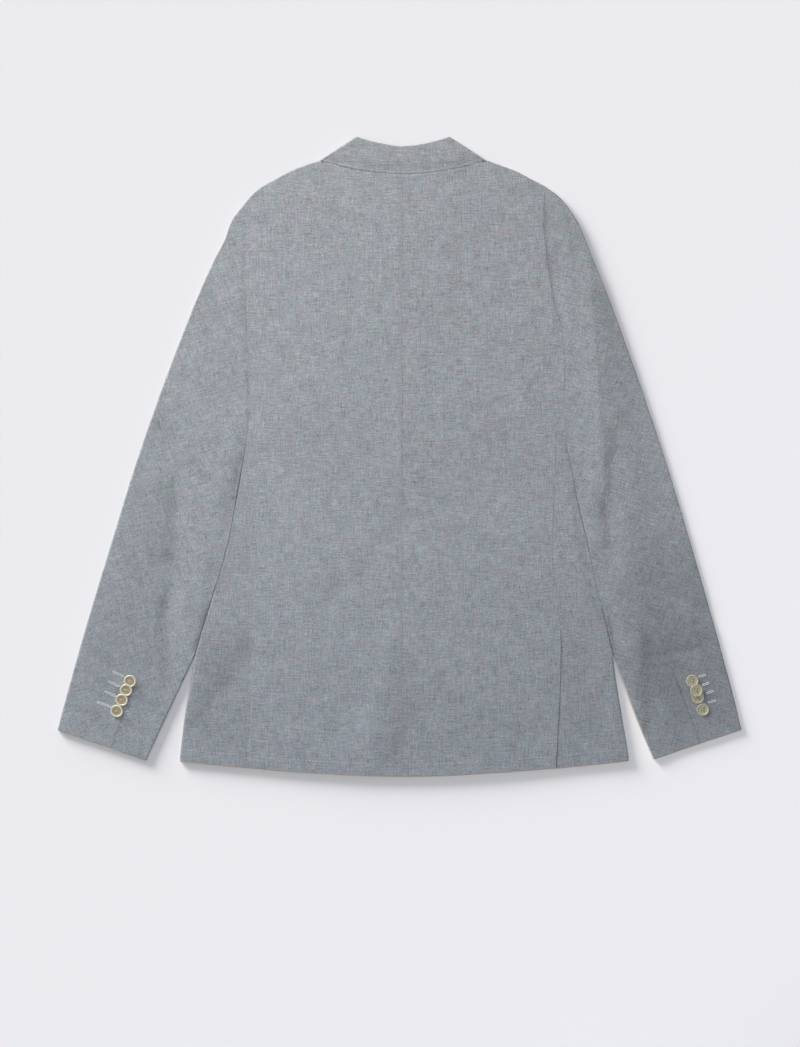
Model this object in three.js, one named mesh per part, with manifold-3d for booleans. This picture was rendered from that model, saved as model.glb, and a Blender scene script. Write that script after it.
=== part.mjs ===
// A men's unstructured chambray blazer, buttoned and laid face down on a flat surface, so that its
// back is on top. Millimetres, +Z up. X = 0 is the centre-back seam, +X is the wearer's right and +Y
// is towards the collar. Z = 0 is the surface that the fronts and sleeves lie on.

import * as THREE from "three";
import { mergeVertices } from "three/addons/utils/BufferGeometryUtils.js";
import Module from "manifold-3d";

// Cloth and layers
const CLOTH = 1.6;
const LAPEL_CLOTH = 2.2;
const SEAM_GAP = 0.3;
const LAYER_GAP = 0.4;
const LAP_GAP = 0.9;
const EDGE_HEIGHT = 7;
const CENTRE_RISE = 2;
const CENTRE_RISE_HALF_WIDTH = 185;

// Body
const HEM_CENTRE_Y = -378;
const HEM_SIDE_LIFT = 18;
const HEM_HALF_WIDTH = 265;
const HEM_POWER = 1.6;
const FRONT_HEM_INSET = 4;
const ARMPIT_Y = 45;
const VENT_TOP_SHARE = 0.39;
const VENT_LAP = 32;
const SEAM_LAP = 8;
const LAP_SLOPE = 4;
const BODY_COLUMNS = [0, 18, 36, 54, 70, 96, 102, 130, 152];
const FRONT_COLUMNS = [152, 130, 102, 96, 76];
const FRONT_INNER_STEPS = 6;
const NARROWEST_COLUMN = 2;
const VENT_ROWS = 6;
const SIDE_ROWS = 10;
const NECK_HALF_WIDTH = 70;
const BACK_NECK_Y = 338.5;
const NECK_RISE = 25;
const NECK_POWER = 2.2;

// Collar: the fold line's corners, the ends of the fall edge and the front ends
const FOLD_CORNER = { x: 54, y: 377 };
const FOLD_CENTRE_Y = 366;
const FOLD_POWER = 1.6;
const FALL_CORNER = { x: 98, y: 350 };
const FALL_CENTRE_Y = 334;
const COLLAR_END_FOLD = { x: 47, y: 329 };
const COLLAR_END_FALL = { x: 104, y: 288 };
const STAND_CLEARANCE = 1;
const STAND_STEP = 0.5;
const COLLAR_TOP_STEPS = 12;
const COLLAR_END_DROP = 6;
const COLLAR_END_SHARES = [1, 0.66, 0.33];
const COLLAR_TURNS = [1, 0.75, 0.5, 0.25, 0];
const LAPEL_STEPS = 9;
const SHOULDER_UNDER_COLLAR = 3.6;
const SHOULDER_SEAM_TURN = 0.012;

// Fronts: how far they cross the centre, and how far the lapels and buttons hold them up
const FRONT_OVERLAP = 19;
const FRONT_RAISE = 2.6;
const RAISE_FULL_X = 130;
const RAISE_END_X = 152;
const RAISE_FULL_Y = -100;
const RAISE_END_Y = -160;
const RIGHT_LIFT_FULL_X = 22;
const RIGHT_LIFT_END_X = 58;

// Sleeves
const SLEEVE_STATIONS = 22;
const HIND_SEAM_SHARE = { left: 0.6, right: 0.47 };
const ARMHOLE_HIND_SHARE = 0.6;
const FORE_SEAM_COLUMN = 7;
const HIND_COLUMNS = 5;
const INNER_COLUMNS = 3;
const FOLD_TURNS = [0.25, 0.5, 0.75];

// Buttons
const CUFF_BUTTON = { diameter: 15, thickness: 2.1, hole: 1.5, holeSpacing: 3 };
const FRONT_BUTTON = { diameter: 20, thickness: 2.2, hole: 1.8, holeSpacing: 3.8 };
const BUTTON_LEAN = THREE.MathUtils.degToRad(13);
const BUTTON_DISH_SHARE = 0.3;
const BUTTON_RIM_SHARE = 0.22;
const BUTTON_DISH_SLOPE = 0.8;
const BUTTON_BEVEL = 0.55;
const BUTTON_SIDES = 14;
const HOLE_SIDES = 6;
const FRONT_BUTTON_PLACES = [{ y: 36 }, { y: -68 }];

const CHAMBRAY = new THREE.Color(0x858c93);
const CHAMBRAY_SHADE = new THREE.Color(0x7b8289);
const HORN = new THREE.Color(0xd9cfa8);

// Outlines of the two sides, each row a place on the outline. The garment lies a little unevenly, so
// the sides differ. x is measured outwards from the centre-back seam.
const SIDES = {
  left: {
    sign: -1,
    armhole: [
      { y: 299, x: 187 }, { y: 255, x: 189 }, { y: 213, x: 188 }, { y: 185, x: 185.5 },
      { y: 149, x: 184 }, { y: 102, x: 183 }, { y: 45, x: 183 },
    ],
    sleeveOuter: [
      { y: 299, x: 187 }, { y: 279, x: 202 }, { y: 255, x: 211 }, { y: 232, x: 223 },
      { y: 185, x: 244 }, { y: 90, x: 281 }, { y: -4, x: 314 }, { y: -99, x: 343.5 },
      { y: -193, x: 372 }, { y: -287, x: 398.5 }, { y: -323, x: 408 },
    ],
    valley: [
      { y: 45, x: 183 }, { y: 23, x: 184.5 }, { y: -6, x: 189 }, { y: -57, x: 198 },
      { y: -99, x: 206 }, { y: -166, x: 225 }, { y: -211, x: 239 }, { y: -232, x: 245 },
    ],
    sleeveInner: [{ y: -268, x: 261 }, { y: -311, x: 281 }, { y: -359, x: 303 }],
    bodySide: [{ y: -264, x: 250 }, { y: -311, x: 258 }, { y: -360, x: 263.5 }],
    backSeam: [
      { y: 45, x: 175 }, { y: -51, x: 172 }, { y: -122, x: 173 }, { y: -208, x: 178 },
      { y: -246, x: 179 }, { y: -368, x: 181 },
    ],
    cuffButtons: [
      { x: 321.8, y: -264.8, lean: BUTTON_LEAN, beneath: 0 },
      { x: 326.4, y: -275.5, lean: BUTTON_LEAN, beneath: 0 },
      { x: 331.6, y: -287.1, lean: BUTTON_LEAN, beneath: 0 },
      { x: 337.5, y: -300.1, lean: BUTTON_LEAN, beneath: 0 },
    ],
  },
  right: {
    sign: 1,
    armhole: [
      { y: 319, x: 168 }, { y: 274, x: 166.5 }, { y: 239, x: 169.5 }, { y: 215, x: 173 },
      { y: 187, x: 178 }, { y: 163, x: 184 }, { y: 132, x: 190.5 }, { y: 102, x: 191 },
      { y: 62, x: 190 }, { y: 45, x: 190.5 },
    ],
    sleeveOuter: [
      { y: 319, x: 168 }, { y: 307, x: 184 }, { y: 279, x: 205 }, { y: 232, x: 225 },
      { y: 185, x: 244 }, { y: 90, x: 278.5 }, { y: -4, x: 310 }, { y: -99, x: 339 },
      { y: -193, x: 366 }, { y: -287, x: 391.5 }, { y: -323, x: 400 },
    ],
    valley: [
      { y: 45, x: 190.5 }, { y: 8, x: 194 }, { y: -18, x: 199.5 }, { y: -48, x: 205 },
      { y: -99, x: 217 }, { y: -154, x: 229 }, { y: -189, x: 238 }, { y: -231, x: 248 },
    ],
    sleeveInner: [{ y: -264, x: 258 }, { y: -311, x: 276 }, { y: -358, x: 296 }],
    bodySide: [{ y: -264, x: 251.5 }, { y: -311, x: 259 }, { y: -359, x: 267 }],
    backSeam: [
      { y: 45, x: 182 }, { y: -16, x: 180 }, { y: -87, x: 177 }, { y: -134, x: 177.5 },
      { y: -206, x: 186 }, { y: -287, x: 185 }, { y: -368, x: 180.5 },
    ],
    cuffButtons: [
      { x: 341.6, y: -264.8, lean: 0, beneath: 0 },
      { x: 346.2, y: -276.0, lean: 0, beneath: 1 },
      { x: 348.2, y: -284.4, lean: 0, beneath: 0 },
      { x: 354.1, y: -298.7, lean: 0, beneath: 0 },
    ],
  },
};

// The shoulder's outline outside the collar, the same on both sides
const SHOULDER = [
  { x: 98, y: 350 }, { x: 112, y: 345 }, { x: 135, y: 336 }, { x: 153, y: 326.5 },
  { x: 168, y: 318.5 }, { x: 181, y: 307 }, { x: 190, y: 296 },
];

// Where the side panel meets the front underneath, the same on both sides
const FRONT_SEAM = [{ y: 45, x: 150 }, { y: -160, x: 158 }, { y: -368, x: 172 }];

// The inner edge of a front. Above the break it is the neck edge and the lapel's roll line, below it
// the front edge, rounded off at the hem. Negative x lies past the centre.
const FRONT_EDGE = [
  { y: 364, x: 70 }, { y: 345, x: 59 }, { y: 325, x: 46 }, { y: 310, x: 39 }, { y: 80, x: -12.5 },
  { y: 52, x: -19 }, { y: 30, x: -19 }, { y: -280, x: -19 }, { y: -325, x: -9 }, { y: -352, x: 12 }, { y: -374, x: 58 },
];
const LAPEL_ROLL = [{ y: 324, x: 44 }, { y: 310, x: 39 }, { y: 60, x: -17 }];
const LAPEL_EDGE = [
  { y: 274, x: 122 }, { y: 210, x: 100 }, { y: 135, x: 62 }, { y: 80, x: 16 }, { y: 54, x: -15 },
];

// The largest soft folds of the cloth on top: a trough of the given depth, or a ridge where it is
// negative, along a line from one place to another, and its half width.
const FOLDS = [
  { x1: -8, y1: -220, x2: -46, y2: -350, depth: -0.9, half: 18 },
  { x1: 84, y1: -52, x2: -8, y2: -70, depth: 0.5, half: 20 },
  { x1: -8, y1: -70, x2: -98, y2: -178, depth: 0.5, half: 22 },
  { x1: -190, y1: -240, x2: -246, y2: -318, depth: 1.1, half: 18 },
  { x1: 222, y1: -262, x2: 256, y2: -335, depth: -0.9, half: 16 },
  { x1: -310, y1: 14, x2: -272, y2: 14, depth: 0.9, half: 16 },
  { x1: -270, y1: -45, x2: -282, y2: -205, depth: 1.3, half: 17 },
  { x1: -282, y1: -205, x2: -298, y2: -290, depth: 0.9, half: 17 },
  { x1: 222, y1: 205, x2: 240, y2: -40, depth: -0.9, half: 15 },
  { x1: 250, y1: 24, x2: 243, y2: -128, depth: 1.1, half: 14 },
  { x1: 286, y1: -150, x2: 356, y2: -188, depth: 1.0, half: 16 },
  { x1: 290, y1: -235, x2: 342, y2: -231, depth: 0.8, half: 15 },
];

const lerp = THREE.MathUtils.lerp;
const smoothstep = THREE.MathUtils.smoothstep;

// A smooth curve through a table's rows, and a reader of its x at a given y.
function curveThrough(rows) {
  const points = rows.map((row) => new THREE.Vector3(row.x, row.y, 0));
  return new THREE.CatmullRomCurve3(points, false, "centripetal");
}

function readerOfX(rows) {
  const samples = curveThrough(rows).getPoints(rows.length * 24);
  return (y) => {
    const next = samples.findIndex((point) => point.y <= y);
    if (next === 0) return samples[0].x;
    if (next < 0) return samples[samples.length - 1].x;
    const above = samples[next - 1];
    const below = samples[next];
    return lerp(above.x, below.x, (above.y - y) / (above.y - below.y));
  };
}

const shoulderRows = SHOULDER.map((row) => ({ x: row.y, y: -row.x }));
const shoulderAt = readerOfX(shoulderRows);
const frontSeamReader = readerOfX(FRONT_SEAM);

// The slanting outline where the collar goes over the shoulder, at a distance from the centre.
function collarSlantY(across) {
  const share = (across - FOLD_CORNER.x) / (FALL_CORNER.x - FOLD_CORNER.x);
  return lerp(FOLD_CORNER.y, FALL_CORNER.y, share);
}

// The body's upper edge: back neck, then the shoulder under the collar, then the bare shoulder.
function bodyTopY(x) {
  const across = Math.abs(x);
  if (across < NECK_HALF_WIDTH) return BACK_NECK_Y + NECK_RISE * (across / NECK_HALF_WIDTH) ** NECK_POWER;
  if (across < FALL_CORNER.x) return collarSlantY(across) - SHOULDER_UNDER_COLLAR;
  return shoulderAt(-across);
}

function hemY(x) {
  return HEM_CENTRE_Y + HEM_SIDE_LIFT * (Math.abs(x) / HEM_HALF_WIDTH) ** HEM_POWER;
}

// Distance from a place to a fold's line, as a share of the fold's half width.
function foldDistance(fold, x, y) {
  const alongX = fold.x2 - fold.x1;
  const alongY = fold.y2 - fold.y1;
  const reach = alongX ** 2 + alongY ** 2;
  const share = THREE.MathUtils.clamp(((x - fold.x1) * alongX + (y - fold.y1) * alongY) / reach, 0, 1);
  return Math.hypot(x - fold.x1 - share * alongX, y - fold.y1 - share * alongY) / fold.half;
}

function foldRelief(x, y) {
  return FOLDS.reduce((sum, fold) => sum - fold.depth * Math.exp(-(foldDistance(fold, x, y) ** 2)), 0);
}

// Height of the cloth's outer face on top.
function topHeight(x, y) {
  const inside = Math.max(0, 1 - (x / CENTRE_RISE_HALF_WIDTH) ** 2);
  return EDGE_HEIGHT + CENTRE_RISE * inside + foldRelief(x, y);
}

// Height of a front's lower face: the lapels and buttons lie beneath it near the centre, and the
// right front also lies on the left one.
function frontUnderHeight(side, x, y) {
  const across = Math.abs(x);
  const sideways = 1 - smoothstep(across, RAISE_FULL_X, RAISE_END_X);
  const raised = FRONT_RAISE * sideways * smoothstep(y, RAISE_END_Y, RAISE_FULL_Y);
  const overlap = 1 - smoothstep(x, RIGHT_LIFT_FULL_X, RIGHT_LIFT_END_X);
  const lift = side === "right" ? (CLOTH + LAYER_GAP) * overlap : 0;
  return raised + lift;
}

// One closed wall from rows of cells. Each cell holds the outer and the inner point of the cloth.
function clothWall(name, rows, colour) {
  const width = rows[0].length;
  const corners = rows.flatMap((row) => row.flatMap((cell) => [cell.outer, cell.inner]));
  const outer = (i, j) => 2 * (i * width + j);
  const inner = (i, j) => outer(i, j) + 1;
  const index = [];
  const quad = (a, b, c, d) => index.push(a, b, c, a, c, d);
  const lastRow = rows.length - 1;
  const lastColumn = width - 1;
  for (let i = 0; i < lastRow; i += 1) {
    for (let j = 0; j < lastColumn; j += 1) {
      quad(outer(i, j), outer(i, j + 1), outer(i + 1, j + 1), outer(i + 1, j));
      quad(inner(i, j), inner(i + 1, j), inner(i + 1, j + 1), inner(i, j + 1));
    }
    quad(outer(i, 0), outer(i + 1, 0), inner(i + 1, 0), inner(i, 0));
    quad(outer(i, lastColumn), inner(i, lastColumn), inner(i + 1, lastColumn), outer(i + 1, lastColumn));
  }
  for (let j = 0; j < lastColumn; j += 1) {
    quad(outer(0, j), inner(0, j), inner(0, j + 1), outer(0, j + 1));
    quad(outer(lastRow, j), outer(lastRow, j + 1), inner(lastRow, j + 1), inner(lastRow, j));
  }
  return meshOf(name, corners, index, colour, 0.95);
}

// Volume enclosed by the faces, negative where they point inwards.
function signedVolume(corners, index) {
  let six = 0;
  for (let k = 0; k < index.length; k += 3) {
    const [a, b, c] = [corners[index[k]], corners[index[k + 1]], corners[index[k + 2]]];
    six += a[0] * (b[1] * c[2] - b[2] * c[1]) - a[1] * (b[0] * c[2] - b[2] * c[0])
      + a[2] * (b[0] * c[1] - b[1] * c[0]);
  }
  return six / 6;
}

function meshOf(name, corners, index, colour, roughness) {
  const faces = signedVolume(corners, index) < 0 ? index.toReversed() : index;
  const geometry = new THREE.BufferGeometry();
  geometry.setAttribute("position", new THREE.Float32BufferAttribute(corners.flat(), 3));
  geometry.setIndex(faces);
  geometry.computeVertexNormals();
  const material = new THREE.MeshStandardMaterial({ color: colour, roughness, metalness: 0 });
  const mesh = new THREE.Mesh(geometry, material);
  mesh.name = name;
  return mesh;
}

// A point on a folded edge. turn is 0 where the cloth leaves the top and 1 where it reaches the
// underside; depth is the distance inside the outer face.
function foldPoint(edge, inward, reach, top, under, turn, depth) {
  const half = (top - under) / 2;
  const set = reach - (reach - depth) * Math.sin(Math.PI * turn);
  return [
    edge.x + inward.x * set,
    edge.y + inward.y * set,
    (top + under) / 2 + (half - depth) * Math.cos(Math.PI * turn),
  ];
}

function foldCell(edge, inward, reach, top, under, turn) {
  return {
    outer: foldPoint(edge, inward, reach, top, under, turn, 0),
    inner: foldPoint(edge, inward, reach, top, under, turn, CLOTH),
  };
}

// Cells of cloth lying flat, with the outer face up or down.
const topCell = (x, y, z) => ({ outer: [x, y, z], inner: [x, y, z - CLOTH] });
const underCell = (x, y, z) => ({ outer: [x, y, z], inner: [x, y, z + CLOTH] });

const FOLD_REACH = EDGE_HEIGHT / 2;

// Shares of the armhole from the shoulder's fold to the armpit's fold, at the sleeve's columns and the
// body's rows, so that both sides of the seam have the same corners.
function sleeveShares(hindShare) {
  const outerPart = Array.from({ length: HIND_COLUMNS }, (_, k) => (hindShare * k) / HIND_COLUMNS);
  const innerPart = Array.from({ length: INNER_COLUMNS + 1 }, (_, k) => (
    lerp(hindShare, 1, k / INNER_COLUMNS)
  ));
  return [...outerPart, ...innerPart];
}

const armholeShares = sleeveShares(ARMHOLE_HIND_SHARE);

function outlinesOf(side) {
  const table = SIDES[side];
  const sleeveInnerRows = [...table.valley, ...table.sleeveInner];
  const sleeveInnerAt = readerOfX(sleeveInnerRows);
  const bodySideAt = readerOfX([...table.valley, ...table.bodySide]);
  return {
    sign: table.sign,
    armholeTop: table.armhole[0],
    armholeAt: readerOfX(table.armhole),
    backSeamAt: readerOfX(table.backSeam),
    bodyEdgeAt: (y) => Math.min(bodySideAt(y), sleeveInnerAt(y)) - SEAM_GAP,
    outerCurve: curveThrough(table.sleeveOuter),
    innerCurve: curveThrough(sleeveInnerRows),
  };
}

const OUTLINES = { left: outlinesOf("left"), right: outlinesOf("right") };

// The body's rows. Below the armpit a row is a share of the way from the hem, and above it a share of
// the way from the armpit to the upper edge, closest at the armhole's own corners.
function bodyRows(side) {
  const lower = Array.from({ length: VENT_ROWS + 1 }, (_, k) => ({ low: (VENT_TOP_SHARE * k) / VENT_ROWS }));
  const middle = Array.from({ length: SIDE_ROWS }, (_, k) => ({
    low: lerp(VENT_TOP_SHARE, 1, (k + 1) / SIDE_ROWS),
  }));
  const armholeLength = OUTLINES[side].armholeTop.y - ARMPIT_Y;
  const upper = armholeShares.toReversed().map((share) => ({
    high: 1 - (FOLD_REACH + share * (armholeLength - 2 * FOLD_REACH)) / armholeLength,
  }));
  return [...lower, ...middle, ...upper];
}

function rowY(row, x, hemInset) {
  const hem = hemY(x) + hemInset;
  return row.high === undefined ? lerp(hem, ARMPIT_Y, row.low) : lerp(ARMPIT_Y, bodyTopY(x), row.high);
}

// The seam between side panel and front, the same for both at a row.
function frontSeamOf(row) {
  return frontSeamReader(rowY(row, FRONT_SEAM[0].x, 0));
}

// Half of the back, from the centre seam to the side seam and the armhole.
function backPanel(side) {
  const { sign, armholeAt, backSeamAt, armholeTop } = OUTLINES[side];
  const rows = bodyRows(side);
  const edgeOf = (row) => {
    const y = row.high === undefined ? rowY(row, HEM_HALF_WIDTH, 0) : lerp(ARMPIT_Y, armholeTop.y, row.high);
    return (row.high === undefined ? backSeamAt(y) : armholeAt(y)) - SEAM_GAP;
  };
  const across = (row) => {
    const [centre, ...rest] = BODY_COLUMNS;
    return [centre + SEAM_GAP / 2, ...rest, edgeOf(row)];
  };
  const cells = rows.map((row) => across(row).map((out, column, all) => {
    const x = sign * out;
    const isArmholeEdge = column === all.length - 1 && row.high !== undefined;
    const y = isArmholeEdge ? lerp(ARMPIT_Y, armholeTop.y, row.high) : rowY(row, x, 0);
    return topCell(x, y, topHeight(x, y));
  }));
  const last = rows[rows.length - 1];
  const turns = [0.25, 0.5 - SHOULDER_SEAM_TURN];
  const shoulderRow = (turn, step) => across(last).map((out, column, all) => {
    const isEdge = column === all.length - 1;
    const x = sign * (isEdge ? armholeAt(armholeTop.y) - SEAM_GAP : out);
    const y = isEdge ? armholeTop.y : bodyTopY(x);
    const start = cells[rows.length - 1][column].outer;
    if (out < NECK_HALF_WIDTH) {
      const flatY = lerp(start[1], y, step / turns.length);
      return topCell(x, flatY, topHeight(x, flatY));
    }
    const under = isEdge ? 0 : frontUnderHeight("left", -Math.abs(x), y);
    return foldCell({ x, y }, { x: 0, y: -1 }, y - start[1], start[2], under, turn);
  });
  turns.forEach((turn, k) => cells.push(shoulderRow(turn, k + 1)));
  return clothWall(`back_${side}`, cells, CHAMBRAY);
}

// The side panel: tucked under the back, over the side's fold and along the underside to the front.
function sidePanel(side) {
  const { sign, backSeamAt, bodyEdgeAt } = OUTLINES[side];
  const inward = { x: -sign, y: 0 };
  const rows = bodyRows(side).filter((row) => row.high === undefined);
  const cells = rows.map((row) => {
    const place = (out) => {
      const x = sign * out;
      return { x, y: Math.min(rowY(row, x, 0), ARMPIT_Y - SEAM_GAP) };
    };
    const isVent = row.low < VENT_TOP_SHARE;
    const middleY = place(HEM_HALF_WIDTH).y;
    const seam = backSeamAt(middleY);
    const lap = isVent ? VENT_LAP : SEAM_LAP;
    const edge = bodyEdgeAt(middleY);
    const drop = CLOTH + LAP_GAP;
    const tucked = [seam - lap, seam - lap / 2, seam + SEAM_GAP].map((out) => {
      const { x, y } = place(out);
      return topCell(x, y, topHeight(x, y) - drop);
    });
    const topStart = Math.min(seam + SEAM_GAP + LAP_SLOPE, edge - FOLD_REACH - SEAM_GAP);
    const flat = [0, 1 / 3, 2 / 3, 1].map((share) => {
      const { x, y } = place(lerp(topStart, edge - FOLD_REACH, share));
      return topCell(x, y, topHeight(x, y));
    });
    const edgePlace = place(edge);
    const top = flat[flat.length - 1].outer[2];
    const folded = FOLD_TURNS.map((turn) => foldCell(edgePlace, inward, FOLD_REACH, top, 0, turn));
    const frontSeam = frontSeamOf(row) + SEAM_GAP;
    const beneath = [0, 1 / 3, 2 / 3, 1].map((share) => {
      const { x, y } = place(lerp(edge - FOLD_REACH, frontSeam, share));
      return underCell(x, row.low === 0 ? y + FRONT_HEM_INSET * share : y, 0);
    });
    return [...tucked, ...flat, ...folded, ...beneath];
  });
  return clothWall(`side_${side}`, cells, CHAMBRAY_SHADE);
}

// A front, from the side seam and the armhole to its own edge, up to the shoulder's fold.
function frontPanel(side) {
  const { sign, armholeAt, armholeTop } = OUTLINES[side];
  const frontEdgeAt = readerOfX(FRONT_EDGE);
  const rows = bodyRows(side);
  const outerColumns = FRONT_COLUMNS;
  const [innermost] = outerColumns.slice(-1);
  const across = (row) => {
    const isHigh = row.high !== undefined;
    const seam = isHigh ? armholeAt(lerp(ARMPIT_Y, armholeTop.y, row.high)) : frontSeamOf(row);
    const outer = seam - SEAM_GAP;
    const edge = frontEdgeAt(rowY(row, innermost, FRONT_HEM_INSET));
    const inner = Array.from({ length: FRONT_INNER_STEPS }, (_, k) => (
      lerp(innermost, edge, (k + 1) / FRONT_INNER_STEPS)
    ));
    const columns = outerColumns.map((out, k) => Math.min(out, outer - NARROWEST_COLUMN * (k + 1)));
    return [outer, ...columns, ...inner];
  };
  const heightAt = (x, y) => frontUnderHeight(side, x, y);
  const cells = rows.map((row) => across(row).map((out, column) => {
    const x = sign * out;
    const isArmholeEdge = column === 0 && row.high !== undefined;
    const y = isArmholeEdge
      ? lerp(ARMPIT_Y, armholeTop.y, row.high)
      : rowY(row, Math.max(out, 0), FRONT_HEM_INSET) + (row.low === 1 ? SEAM_GAP : 0);
    return underCell(x, y, heightAt(x, y));
  }));
  const last = rows[rows.length - 1];
  const shoulderRow = (turn) => across(last).map((out, column) => {
    const isEdge = column === 0;
    const x = sign * (isEdge ? armholeAt(armholeTop.y) - SEAM_GAP : out);
    const y = isEdge ? armholeTop.y : bodyTopY(sign * Math.max(out, NECK_HALF_WIDTH));
    const start = cells[rows.length - 1][column].outer;
    const top = topHeight(x, y);
    return foldCell({ x, y }, { x: 0, y: -1 }, y - start[1], top, start[2], turn);
  });
  [0.75, 0.5 + SHOULDER_SEAM_TURN].forEach((turn) => cells.push(shoulderRow(turn)));
  return clothWall(`front_${side}`, cells, CHAMBRAY_SHADE);
}

// How far down its inner edge a sleeve's station is, for a share down its outer edge. The stations fan
// out from the armpit and lie straight across at the cuff.
function innerShare(along) {
  const start = 0.2;
  const end = 1.56;
  const square = 3 - 2 * start - end;
  const cube = start + end - 2;
  return start * along + square * along ** 2 + cube * along ** 3;
}

// A sleeve is a flattened tube, laid out by stations from its outer edge to its inner edge. The first
// station is the armhole and the last one the cuff.
function sleeveStation(side, along) {
  const { sign, armholeAt, armholeTop, outerCurve, innerCurve } = OUTLINES[side];
  const outer = outerCurve.getPointAt(along);
  const inner = innerCurve.getPointAt(innerShare(along));
  const length = outer.distanceTo(inner);
  const ahead = inner.clone().sub(outer).divideScalar(length);
  const bend = (1 - along) ** 3;
  const armholeLength = armholeTop.y - ARMPIT_Y;
  // the armhole's own curve, measured from the straight line between its ends
  const bendAt = (set) => {
    const share = set / length;
    const y = armholeTop.y - share * armholeLength;
    return bend * (armholeAt(y) - lerp(armholeTop.x, armholeAt(ARMPIT_Y), share));
  };
  const placeAt = (set) => ({
    x: sign * (outer.x + ahead.x * set + bendAt(set) + SEAM_GAP),
    y: outer.y + ahead.y * set,
  });
  return { length, placeAt, ahead: { x: sign * ahead.x, y: ahead.y } };
}

function sleevePanels(side) {
  const stations = Array.from({ length: SLEEVE_STATIONS + 1 }, (_, k) => k / SLEEVE_STATIONS);
  const topRows = [];
  const underRows = [];
  stations.forEach((along) => {
    const station = sleeveStation(side, along);
    const { length, placeAt, ahead } = station;
    const flatLength = length - 2 * FOLD_REACH;
    const hindShare = lerp(ARMHOLE_HIND_SHARE, HIND_SEAM_SHARE[side], along ** 2);
    const shares = sleeveShares(hindShare);
    const sets = shares.map((share) => FOLD_REACH + share * flatLength);
    const foreSet = sets[FORE_SEAM_COLUMN];
    const onTop = (set) => {
      const { x, y } = placeAt(set);
      return topCell(x, y, topHeight(x, y));
    };
    const beneath = (set) => {
      const { x, y } = placeAt(set);
      return underCell(x, y, 0);
    };
    const topAt = (set) => {
      const { x, y } = placeAt(set);
      return topHeight(x, y);
    };
    const backwards = { x: -ahead.x, y: -ahead.y };
    const outerFold = (turn) => foldCell(placeAt(0), ahead, FOLD_REACH, topAt(FOLD_REACH), 0, turn);
    const innerTop = topAt(length - FOLD_REACH);
    const innerFold = (turn) => foldCell(placeAt(length), backwards, FOLD_REACH, innerTop, 0, turn);
    const hindSet = sets[HIND_COLUMNS];
    topRows.push([
      onTop(hindSet - SEAM_GAP / 2),
      ...sets.slice(0, HIND_COLUMNS).toReversed().map(onTop),
      ...FOLD_TURNS.map(outerFold),
      ...sets.slice(0, FORE_SEAM_COLUMN).map(beneath),
      beneath(foreSet - SEAM_GAP / 2),
    ]);
    underRows.push([
      onTop(hindSet + SEAM_GAP / 2),
      ...sets.slice(HIND_COLUMNS + 1).map(onTop),
      ...FOLD_TURNS.map(innerFold),
      ...sets.slice(FORE_SEAM_COLUMN + 1).toReversed().map(beneath),
      beneath(foreSet + SEAM_GAP / 2),
    ]);
  });
  return [
    clothWall(`top_sleeve_${side}`, topRows, CHAMBRAY),
    clothWall(`under_sleeve_${side}`, underRows, CHAMBRAY_SHADE),
  ];
}

// The collar's strip, from the left front end over the shoulder, along the back neck and down to the
// right front end. A station runs across the strip from the fold line to the fall edge.
function collarStations() {
  const foldLine = (share) => ({
    x: FOLD_CORNER.x * share,
    y: FOLD_CENTRE_Y + (FOLD_CORNER.y - FOLD_CENTRE_Y) * Math.abs(share) ** FOLD_POWER,
  });
  const fallLine = (share) => ({
    x: FALL_CORNER.x * share,
    y: FALL_CENTRE_Y + (FALL_CORNER.y - FALL_CENTRE_Y) * share ** 2,
  });
  const station = (fold, fall, placed) => {
    const width = Math.hypot(fall.x - fold.x, fall.y - fold.y);
    const ahead = { x: (fall.x - fold.x) / width, y: (fall.y - fold.y) / width };
    const flatPlace = (set) => ({ x: fold.x + ahead.x * set, y: fold.y + ahead.y * set });
    return { width, flatPlace, point: placed(flatPlace, ahead) };
  };
  const leafTop = (x, y) => topHeight(x, y) + LAYER_GAP + CLOTH;
  const above = (flatPlace) => (set, depth) => {
    const { x, y } = flatPlace(set);
    return [x, y, leafTop(x, y) - depth];
  };
  const beneath = (flatPlace) => (set, depth) => {
    const { x, y } = flatPlace(set);
    return [x, y, depth];
  };
  const rounding = (sign, turn) => (flatPlace, ahead) => (set, depth) => {
    const edge = flatPlace(set);
    const inward = { x: -sign * Math.abs(ahead.y), y: -Math.abs(ahead.x) };
    const top = leafTop(edge.x, edge.y);
    return foldPoint(edge, inward, top / 2, top, 0, turn, depth);
  };
  const stations = [];
  const frontEnd = (sign) => COLLAR_END_SHARES.map((share) => {
    const fold = {
      x: sign * lerp(FOLD_CORNER.x, COLLAR_END_FOLD.x, share),
      y: lerp(FOLD_CORNER.y - COLLAR_END_DROP, COLLAR_END_FOLD.y, share),
    };
    const fall = {
      x: sign * lerp(FALL_CORNER.x, COLLAR_END_FALL.x, share),
      y: lerp(FALL_CORNER.y - COLLAR_END_DROP, COLLAR_END_FALL.y, share),
    };
    return station(fold, fall, beneath);
  });
  const wrap = (sign) => COLLAR_TURNS.map((turn) => (
    station(foldLine(sign), fallLine(sign), rounding(sign, turn))
  ));
  stations.push(...frontEnd(-1), ...wrap(-1));
  for (let k = 1; k < COLLAR_TOP_STEPS; k += 1) {
    const share = lerp(-1, 1, k / COLLAR_TOP_STEPS);
    stations.push(station(foldLine(share), fallLine(share), above));
  }
  stations.push(...wrap(1).toReversed(), ...frontEnd(1).toReversed());
  return stations;
}

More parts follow.
